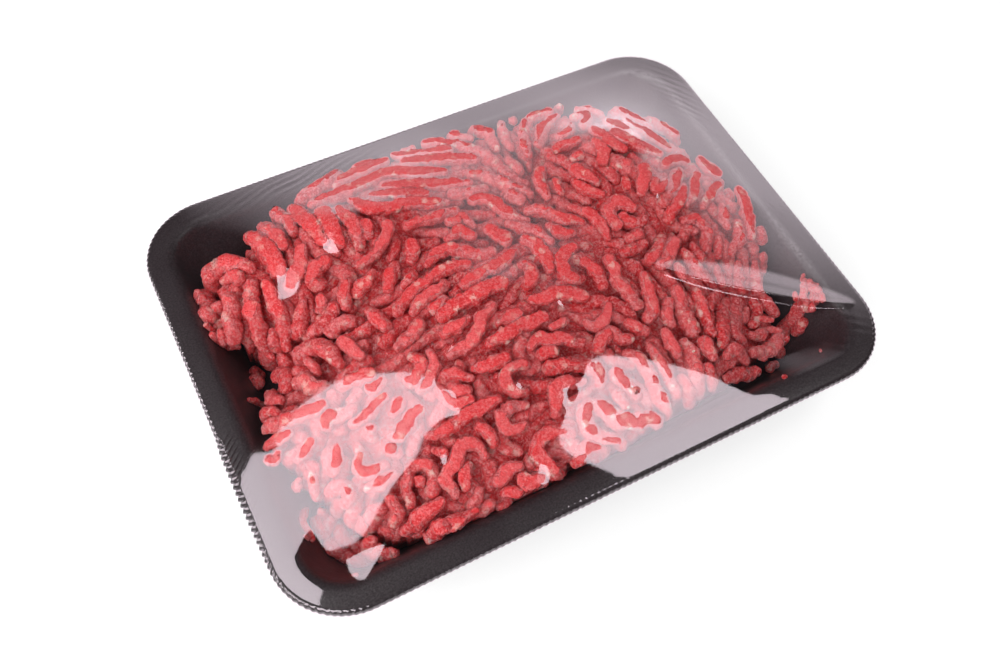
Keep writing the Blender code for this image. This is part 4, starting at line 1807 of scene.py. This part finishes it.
@dataclass
class FoamTray:
    """Thermoformed foam tray: flange, sloping wall, round breaks and a flat floor.

    Each round is how far that rounding reaches, and cap is how far in the floor's flat faces
    start.  The edge has fine teeth where the film bites, deeper where the film is gathered:
    gather_run holds the y at which that starts, is full, is still full and ends.
    """

    foam: float = 4.0 * MM
    flange: float = 9.5 * MM
    wall_run: float = 11.5 * MM
    break_round: float = 3.2 * MM
    foot_round: float = 5.0 * MM
    edge_round: float = 1.7 * MM
    corner: float = 24.1 * MM
    foot_corner: float = 12.0 * MM
    cap: float = 40.0 * MM
    upper_rings: int = 16
    around: int = 2016
    teeth: int = 336
    tooth: float = 0.30 * MM
    gathered: float = 1.7 * MM
    gather_side: float = -104.0 * MM
    gather_run: tuple[float, ...] = (-0.062, -0.034, -0.016, -0.010)
    finish: FoamFinish = FoamFinish()

    def __post_init__(self) -> None:
        """Read the outer sizes from the frame."""
        low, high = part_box("tray")
        self.half_x = high.x
        self.half_y = high.y
        self.rim = high.z
        self.foot = low.z

    def inset(self, x: Array, y: Array) -> Array:
        """Return how far in from the tray's edge plan positions lie."""
        return rim_inset(x, y, self.half_x, self.half_y, self.corner)

    def rounded(self, before: tuple, corner: tuple, after: tuple, reach: float, steps: int) -> list[tuple]:
        """Round off a corner of the section.

        Args:
            before: The point before the corner.
            corner: The corner.
            after: The point after it.
            reach: How far the rounding reaches.
            steps: Into how many parts it is cut.

        Returns:
            The curve's points.
        """
        first, middle, last = (np.array(p, float) for p in (before, corner, after))
        start = middle + (first - middle) / np.linalg.norm(first - middle) * reach
        end = middle + (last - middle) / np.linalg.norm(last - middle) * reach
        part = np.linspace(0.0, 1.0, steps + 1)[:, None]
        curve = (1 - part) ** 2 * start + 2 * part * (1 - part) * middle + part ** 2 * end
        return [tuple(point) for point in curve]

    def serrate(self, points: Array, place: Array, edge: Array) -> None:
        """Move the edge's points in and out in fine even teeth.

        Args:
            points: Rows of x, y, z, which are changed.
            place: Each point's place round the rim.
            edge: Which points belong to the edge.
        """
        tooth = np.abs(((place * self.teeth / self.around) % 1.0) - 0.5) * 2.0
        out = points[:, :2] / np.linalg.norm(points[:, :2], axis=1)[:, None]
        x, y = points[:, 0], points[:, 1]
        side = np.interp(y, self.gather_run, (0.0, 1.0, 1.0, 0.0)) * (x < self.gather_side)
        deep = self.tooth + self.gathered * side
        points[edge, :2] += out[edge] * (deep * (tooth - 0.6))[edge, None]

    def section(self) -> Section:
        """Draw the section, from the inner floor over the rim to the underside.

        Returns:
            Its points as (inset, height).
        """
        slope = (self.rim - self.foot - self.foam) / self.wall_run
        length = math.hypot(1.0, slope)
        shift = self.foam * (length - 1.0) / slope
        floor_in = (self.cap, self.foot + self.foam)
        foot_in = (self.flange + self.wall_run, self.foot + self.foam)
        brink_in = (self.flange, self.rim)
        edge_top = (0.0, self.rim)
        edge_low = (0.0, self.rim - self.foam)
        brink_out = (self.flange - shift, self.rim - self.foam)
        foot_out = (self.flange + self.wall_run - shift, self.foot)
        floor_out = (self.cap, self.foot)
        points = [floor_in]
        points += self.rounded(floor_in, foot_in, brink_in, self.foot_round, 6)
        points += self.rounded(foot_in, brink_in, edge_top, self.break_round, 6)
        points += self.rounded(brink_in, edge_top, edge_low, self.edge_round, 4)
        points += self.rounded(edge_top, edge_low, brink_out, self.edge_round, 4)
        points += self.rounded(edge_low, brink_out, foot_out, self.break_round, 4)
        points += self.rounded(brink_out, foot_out, floor_out, self.foot_round, 4)
        points.append(floor_out)
        return points

    def follow(self, name: str, section: Section) -> Drawn:
        """Model an open tube that follows a section all round the tray.

        Args:
            name: The piece's name.
            section: The section as (inset, height).

        Returns:
            The piece, and each vertex's ring, its place round the ring and where it goes.
        """
        piece, ring, place = ringed_tube(name, self.around, len(section))
        points = coordinates(piece)
        for index, (inset, height) in enumerate(section):
            radius = max(self.corner - inset, self.foot_corner)
            loop = rim_loop(self.around, self.half_x - inset, self.half_y - inset, radius)
            on = ring == index
            points[on, :2] = loop[place[on]]
            points[on, 2] = height
        return piece, ring, place, points

    def painted_break_glint(self, points: Array, inset: Array) -> Array:
        """Return how strongly the highlight is painted along the inner break at the right.

        Args:
            points: Rows of x, y, z.
            inset: How far in from the edge each one lies.

        Returns:
            One number for each row, from 0 to 1.
        """
        brink = self.flange
        along = np.interp(inset, (brink - 2.4 * MM, brink - 0.6 * MM, brink + 1.6 * MM), (0.0, 1.0, 0.0))
        right = np.clip((points[:, 0] - 70.0 * MM) / (20.0 * MM), 0.0, 1.0)
        return along * right * np.clip((points[:, 1] + 50.0 * MM) / (20.0 * MM), 0.0, 1.0)

    def build(self) -> Piece:
        """Build the tray.

        Returns:
            The piece.
        """
        section = self.section()
        tray, ring, place, points = self.follow("foam_tray", section)
        inset = np.array([inset for inset, _ in section])[ring]
        self.serrate(points, place, inset < self.edge_round)
        set_coordinates(tray, points)
        for end in (0, len(section) - 1):
            choose_vertices(tray, ring == end)
            bpy.ops.mesh.edge_face_add()
            edit(False)
        face_outwards(tray)
        # The highlight painted along the inner break at the right, stored for the foam's colour.
        set_attribute(tray, "painted_break_glint", self.painted_break_glint(coordinates(tray), inset) * (ring < self.upper_rings))
        return tray

    def dress(self) -> None:
        """Build the tray and dress it."""
        settle(self.build(), self.finish.make(), Slot.FOAM, "tray")


@dataclass
class StretchFilm:
    """Clear film drawn over the heap, round the rim and under the base.

    It lies by lift over the foam, meets the skirt at brim, and evens out hollows up to stiff.
    Strands are lifted until they sink into it by touch: wholly where the gap is below
    reach_near, not at all above reach_far, and less and less from lift_depth under the crest.
    Sags start at sag_start from the edge and are full sag_run further in.  The long fold bows
    by fold_bow over the first fold_bowed of its length, and fold_profile is its section, in
    shares of half its width and of its height.

    Args:
        tray: The tray that it wraps.
        strands: What it lies on.
    """

    tray: FoamTray
    strands: list[Piece]
    step: float = 0.66 * MM
    lift: float = 0.15 * MM
    brim: float = 1.7 * MM
    stiff: float = 3.3 * MM
    fold_half: float = 5.6 * MM
    fold_slope: float = 0.19
    touch: float = 1.15 * MM
    reach_near: float = 2.6 * MM
    reach_far: float = 5.5 * MM
    crest_window: float = 4.5 * MM
    lift_window: float = 4.0 * MM
    lift_depth: float = 16.0 * MM
    lift_fade: float = 10.0 * MM
    even_run: float = 7.0 * MM
    sag_start: float = 7.0 * MM
    sag_run: float = 9.0 * MM
    fold_start: tuple[float, float] = (0.047, -0.016)
    fold_end: tuple[float, float] = (0.105, -0.0585)
    fold_bow: float = 2.6 * MM
    fold_bowed: float = 0.55
    fold_profile: tuple[tuple[float, float], ...] = (
        (-1.0, 0.0), (-0.92, 1.81), (-0.06, 0.95), (0.05, 0.95), (1.0, 0.0))
    pleat_lump: float = 12.0 * MM
    pull: float = 1.6
    first_rounds: int = 90
    last_rounds: int = 160
    wall_rows: int = 12
    lap: float = 12.0 * MM
    finish: FilmFinish = FilmFinish()

    def ground(self) -> HeightGrid:
        """Find the lowest heights that the film may have.

        Returns:
            The heights.
        """
        half_x = self.tray.half_x + 2 * self.step
        half_y = self.tray.half_y + 2 * self.step
        tray_top = HeightGrid.over(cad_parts["tray"], self.step, half_x, half_y, self.tray.rim)
        self.meat = tray_top.like(np.zeros_like(tray_top.heights))
        for piece in self.strands:
            heights = HeightGrid.over(piece, self.step, half_x, half_y, 0.0).heights
            self.meat.heights = np.maximum(self.meat.heights, heights)
        x, y = np.meshgrid(*tray_top.axes())
        pressed = self.meat.heights - press_depth(x, y)
        self.foam_top = tray_top.heights + self.lift
        tray_top.heights = np.maximum(self.foam_top, pressed)
        return tray_top

    def drawn_tight(self, ground: HeightGrid, rounds: int) -> HeightGrid:
        """Draw the film tight like a skin over the ground.

        Args:
            ground: The lowest heights.
            rounds: How many rounds of tightening are done at each fineness.

        Returns:
            Its heights.
        """
        x, y = np.meshgrid(*ground.axes())
        inset = self.tray.inset(x, y)
        level = self.tray.rim + self.lift
        floor = np.where(inset < self.brim, level, ground.heights)
        held = inset < self.brim
        heights = None
        for stride in (8, 4, 2, 1):
            coarse = floor[::stride, ::stride]
            fixed = held[::stride, ::stride]
            if heights is None:
                heights = np.maximum(coarse, level)
            else:
                before = HeightGrid(x[0, 0], y[0, 0], self.step * 2 * stride, heights)
                heights = np.maximum(before.at(x[::stride, ::stride], y[::stride, ::stride]), coarse)
            rows, columns = np.indices(heights.shape)
            for _ in range(rounds):
                for colour in (0, 1):
                    wide = np.pad(heights, 1, mode="edge")
                    mean = 0.25 * (wide[:-2, 1:-1] + wide[2:, 1:-1] + wide[1:-1, :-2] + wide[1:-1, 2:])
                    moved = np.maximum(heights + self.pull * (mean - heights), coarse)
                    turn = ((rows + columns) % 2 == colour) & ~fixed
                    heights = np.where(turn, moved, heights)
                heights = np.where(fixed, level, heights)
        return ground.like(heights)

    def raise_heap(self) -> None:
        """Lift the heap's upper strands gently until they touch the film wherever it passes close."""
        skin = self.drawn_tight(self.ground(), self.first_rounds)
        crest = self.meat.highest(self.crest_window).blurred(self.crest_window)
        gap = skin.heights - crest.heights
        near = np.clip((self.reach_far - gap) / (self.reach_far - self.reach_near), 0.0, 1.0)
        lift = skin.like(np.clip(gap + self.touch, 0.0, None) * near)
        lift = lift.blurred(self.lift_window)
        for piece in self.strands:
            points = coordinates(piece)
            x, y, z = points.T
            share = np.clip((z - crest.at(x, y) + self.lift_depth) / self.lift_fade, 0.0, 1.0)
            points[:, 2] += lift.at(x, y) * share
            set_coordinates(piece, points)

    def calm(self) -> None:
        """Even out the film between the rim and the highest strands."""
        x, y = np.meshgrid(*self.skin.axes())
        inset = self.tray.inset(x, y)
        share = np.clip((inset - self.brim) / self.even_run, 0.0, 1.0)
        even = self.skin.blurred(self.stiff).heights
        self.skin.heights += (even - self.skin.heights) * share
        share = np.clip((inset - self.sag_start) / self.sag_run, 0.0, 1.0)
        for sag in SAGS:
            near = np.exp(-((x - sag.x) ** 2 + (y - sag.y) ** 2) / sag.reach ** 2)
            self.skin.heights -= sag.depth * near * share
        self.skin.heights = np.maximum(self.skin.heights, np.where(inset > 0.0, self.foam_top, -1.0))

    def add_pleats(self) -> None:
        """Add the fine slanting folds where the film is gathered near the rim."""
        x, y = np.meshgrid(*self.skin.axes())
        wander = ValueNoise(81).at(spread(x, y, self.pleat_lump))
        for pleat in PLEATS:
            turn = math.radians(pleat.heading)
            across = -(x - pleat.x) * math.sin(turn) + (y - pleat.y) * math.cos(turn)
            near = np.exp(-((x - pleat.x) / pleat.reach_x) ** 2 - ((y - pleat.y) / pleat.reach_y) ** 2)
            wave = np.cos(math.tau * across / pleat.pitch + 2.5 * wander.reshape(x.shape))
            self.skin.heights += pleat.height * near * np.maximum(wave, -0.2)

    def add_wrinkle(self) -> None:
        """Raise a long flat fold that runs from the far mound down to the near corner."""
        start = np.array(self.fold_start)
        end = np.array(self.fold_end)
        x, y = np.meshgrid(*self.skin.axes())
        length = np.linalg.norm(end - start)
        line = (end - start) / length
        along = ((x - start[0]) * line[0] + (y - start[1]) * line[1]) / length
        along = np.clip(along, 0.0, 1.0)
        across = -(x - start[0]) * line[1] + (y - start[1]) * line[0]
        across += self.fold_bow * np.clip(1.0 - along / self.fold_bowed, 0.0, 1.0)
        half = self.fold_half * np.sqrt(np.sin(np.pi * along))
        part = across / np.maximum(half, 1e-5)
        tooth = np.interp(part, *zip(*self.fold_profile))
        self.skin.heights += self.fold_slope * half * tooth

    def build_top(self) -> Piece:
        """Build the film over the heap, up to the brim.

        Returns:
            The piece.
        """
        self.raise_heap()
        self.skin = self.drawn_tight(self.ground(), self.last_rounds)
        self.calm()
        self.add_wrinkle()
        self.add_pleats()
        top = plan_sheet("film_top", self.tray.half_x, self.tray.half_y, self.step)
        x, y, _ = coordinates(top).T
        choose_vertices(top, self.tray.inset(x, y) < self.brim - 0.5 * self.step)
        bpy.ops.mesh.delete(type="VERT")
        choose_border()
        edit(False)
        points = coordinates(top)
        border = np.empty(len(points), bool)
        top.data.vertices.foreach_get("select", border)
        points[border, :2] = self.snapped(points[border, :2])
        points[:, 2] = self.skin.at(points[:, 0], points[:, 1])
        set_coordinates(top, points)
        top.data.shade_smooth()
        gap = (self.skin.at(points[:, 0], points[:, 1]) - self.meat.at(points[:, 0], points[:, 1])) / MM
        set_attribute(top, "gap", np.clip(gap, -1.0, 3.0))
        return top

    def snapped(self, places: Array) -> Array:
        """Move plan positions straight to the brim's loop.

        Args:
            places: Rows of x and y.

        Returns:
            The new rows.
        """
        moved = places.copy()
        step = 0.01 * MM
        for _ in range(3):
            x, y = moved.T
            inset = self.tray.inset(x, y)
            ahead = [self.tray.inset(x + step, y) - inset, self.tray.inset(x, y + step) - inset]
            slope = np.column_stack(ahead) / step
            moved += slope * (self.brim - inset)[:, None]
        return moved

    def build_skirt(self) -> Piece:
        """Build the film round the rim's edge, down to the foot and under the base.

        Returns:
            The piece.
        """
        tray = self.tray
        reach = tray.edge_round + self.lift
        section = [(self.brim, tray.rim + self.lift)]
        for middle, turns in ((tray.edge_round, (70.0, 50.0, 30.0, 10.0)),
                              (tray.foam - tray.edge_round, (-10.0, -35.0, -60.0))):
            for turn in turns:
                angle = math.radians(turn)
                section.append((tray.edge_round - reach * math.cos(angle),
                                tray.rim - middle + reach * math.sin(angle)))
        foot = (tray.flange + tray.wall_run - tray.foam + 1.0 * MM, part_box("film")[0].z + 0.4 * MM)
        last = section[-1]
        bend = len(section) - 1
        for row in range(1, self.wall_rows + 1):
            part = row / self.wall_rows
            section.append((last[0] + (foot[0] - last[0]) * part, last[1] + (foot[1] - last[1]) * part))
        section.append((foot[0] + 2.0 * MM, foot[1] - 0.3 * MM))
        section.append((foot[0] + self.lap, foot[1] - 0.35 * MM))
        skirt, ring, place, points = tray.follow("film_skirt", section)
        tray.serrate(points, place, (ring > 0) & (ring < bend))
        set_coordinates(skirt, points)
        face_outwards(skirt)
        set_attribute(skirt, "gap", np.interp(ring, (bend - 2, bend + 1), (1.0, -1.0)))
        return skirt

    def press(self, piece: Piece) -> None:
        """Flatten a piece where the film lies on it, and note how hard it is pressed.

        Args:
            piece: The piece.
        """
        points = coordinates(piece)
        skin = self.skin.at(points[:, 0], points[:, 1]) - 0.04 * MM
        pressed = np.clip((points[:, 2] - skin) / MM, -1.0, 1.5)
        points[:, 2] = np.minimum(points[:, 2], skin)
        set_coordinates(piece, points)
        set_attribute(piece, "press", pressed)

    def dress(self) -> None:
        """Build the film and dress it."""
        top = self.build_top()
        skirt = self.build_skirt()
        clear = self.finish.make()
        settle(top, clear, Slot.FILM, "film")
        settle(skirt, clear, Slot.FILM, "film", "film_lap")


# ---- the studio


@dataclass(frozen=True)
class Softbox:
    """A rectangular soft light.

    Args:
        name: Its name.
        place: The middle of its face.
        aim: The point that it faces.
        turn: The direction of its length in plan, in degrees.
        length: Its length.
        width: Its width.
        radiance: The brightness of its face.
        colour: Its tint.
    """

    name: str
    place: tuple[float, float, float]
    aim: tuple[float, float, float]
    turn: float
    length: float
    width: float
    radiance: float
    colour: Colour = WHITE


@dataclass(frozen=True)
class Glow:
    """A soft pale patch of the room, which the film mirrors.

    Args:
        azimuth: Its direction from +X, in degrees.
        elevation: Its height over the horizon, in degrees.
        inner: How far from its middle it is even, in degrees.
        outer: How far from its middle it ends, in degrees.
        strength: Its brightness.
    """

    azimuth: float
    elevation: float
    inner: float
    outer: float
    strength: float

    def direction(self) -> tuple[float, float, float]:
        """Return the way to its middle."""
        turn, rise = math.radians(self.azimuth), math.radians(self.elevation)
        return math.cos(turn) * math.cos(rise), math.sin(turn) * math.cos(rise), math.sin(rise)


GLOWS = (
    Glow(50.0, 5.0, 8.0, 52.0, 3.2),
    Glow(22.0, 31.0, 6.0, 20.0, 1.3),
)

SOFTBOXES = (
    Softbox("box_left", (-0.2303, 0.1633, 0.70), (-0.2303, 0.1633, 0.0), -24.0, 0.2350, 0.2030, 6.0),
    Softbox("box_right", (0.3235, -0.1100, 0.70), (0.3235, -0.1100, 0.0), 42.6, 0.2667, 0.1450, 6.0),
    Softbox("box_front", (-0.62, -0.56, 0.75), (0.0, 0.0, 0.0), -48.0, 0.70, 0.55, 6.0),
    Softbox("box_side", (-0.75, 0.10, 0.35), (-0.06, 0.0, 0.02), 82.0, 0.50, 0.36, 6.0),
)


@dataclass
class Studio:
    """Plain floor, soft lights and the camera.

    Angles are in degrees, the lens and the sensor in millimetres.  The room is as bright as
    ambient where it lights the pack, as mirrored in a mirror, and as backdrop behind the pack.
    The glows light the pack with glow_share of their strength, and show with glow_inside of it
    in what lies under the film.
    """

    eye: tuple[float, float, float] = (-0.10301, -0.16133, 0.31928)
    azimuth: float = -31.8899
    elevation: float = 59.1653
    roll: float = 5.2647
    lens: float = 35.868
    sensor: float = 36.0
    ambient: float = 0.22
    mirrored: float = 0.035
    backdrop: float = 1.0
    glow_share: float = 0.35
    glow_inside: float = 0.02
    glow_fall: float = 1.2

    def camera(self) -> None:
        """Set the camera."""
        turn, rise, tilt = (math.radians(v) for v in (self.azimuth, self.elevation, self.roll))
        back = Vector((math.sin(turn) * math.cos(rise), -math.cos(turn) * math.cos(rise), math.sin(rise)))
        level = Vector((math.cos(turn), math.sin(turn), 0.0))
        upright = back.cross(level)
        right = level * math.cos(tilt) + upright * math.sin(tilt)
        up = upright * math.cos(tilt) - level * math.sin(tilt)
        data = bpy.data.cameras.new("camera")
        data.lens = self.lens
        data.sensor_width = self.sensor
        data.clip_start = 0.01
        camera = bpy.data.objects.new("camera", data)
        camera.matrix_world = Matrix((right, up, back)).transposed().to_4x4()
        camera.matrix_world.translation = Vector(self.eye)
        bpy.context.scene.collection.objects.link(camera)
        bpy.context.scene.camera = camera

    def floor(self) -> None:
        """Add the floor."""
        deselect_all()
        bpy.ops.mesh.primitive_circle_add(vertices=96, radius=6.0, fill_type="NGON")
        floor = bpy.context.object
        floor.name = "floor"
        floor.data.materials.append(FloorFinish().make())

    def softbox(self, box: Softbox) -> None:
        """Add a soft rectangular light of even brightness.

        Args:
            box: The light.
        """
        data = bpy.data.lights.new(box.name, "AREA")
        data.shape = "RECTANGLE"
        data.size = box.length
        data.size_y = box.width
        data.energy = box.radiance * math.pi * box.length * box.width
        data.color = box.colour
        lamp = bpy.data.objects.new(box.name, data)
        aim = Vector(box.aim)
        place = Vector(box.place)
        back = (place - aim).normalized()
        across = Vector((math.cos(math.radians(box.turn)), math.sin(math.radians(box.turn)), 0.0))
        up = back.cross(across).normalized()
        across = up.cross(back)
        lamp.matrix_world = Matrix((across, up, back)).transposed().to_4x4()
        lamp.matrix_world.translation = place
        lamp.visible_camera = False
        bpy.context.scene.collection.objects.link(lamp)

    def sky(self) -> None:
        """Set a pale backdrop that lights the pack only faintly, with glows that the film mirrors."""
        world = bpy.data.worlds.new("studio")
        g = Graph(world)
        view = g.add("TexCoord").outputs["Generated"]
        ray = g.add("LightPath").outputs
        glossy = ray["Is Glossy Ray"]
        glows = 0.0
        for glow in GLOWS:
            toward = g.add("VectorMath", operation="DOT_PRODUCT", input_0=view, input_1=glow.direction())
            outer, inner = (math.cos(math.radians(angle)) for angle in (glow.outer, glow.inner))
            fade = g.math("POWER", g.remap(toward.outputs["Value"], outer, inner), self.glow_fall)
            glows = g.math("MULTIPLY_ADD", fade, glow.strength, glows)
        direct = g.math("MULTIPLY", glossy, g.math("LESS_THAN", ray["Transparent Depth"], 0.5))
        room = g.remap(glossy, 0.0, 1.0, self.ambient, self.mirrored)
        indirect = g.remap(glossy, 0.0, 1.0, self.glow_share, self.glow_inside)
        share = g.remap(direct, 0.0, 1.0, indirect, 1.0)
        total = g.math("MULTIPLY_ADD", glows, share, room)
        level = g.add("Mix", input_0=ray["Is Camera Ray"], input_2=total, input_3=self.backdrop)
        backdrop = g.nodes["Background"]
        backdrop.inputs["Color"].default_value = rgba(WHITE)
        g.links.new(level.outputs[0], backdrop.inputs["Strength"])
        bpy.context.scene.world = world

    def build(self) -> None:
        """Set up everything."""
        self.camera()
        self.floor()
        self.sky()
        for box in SOFTBOXES:
            self.softbox(box)
        view = bpy.context.scene.view_settings
        view.view_transform = "Standard"
        view.look = "None"


def main() -> None:
    """Build every part of the pack in order."""
    logging.basicConfig(level=logging.INFO, format="%(message)s")
    mince = Mince()
    strands = mince.build()
    tray = FoamTray()
    film = StretchFilm(tray, strands)
    film.dress()
    mince.dress(strands, film)
    tray.dress()
    mince.dress_strays()
    Studio().build()


if __name__ == "__main__":
    main()
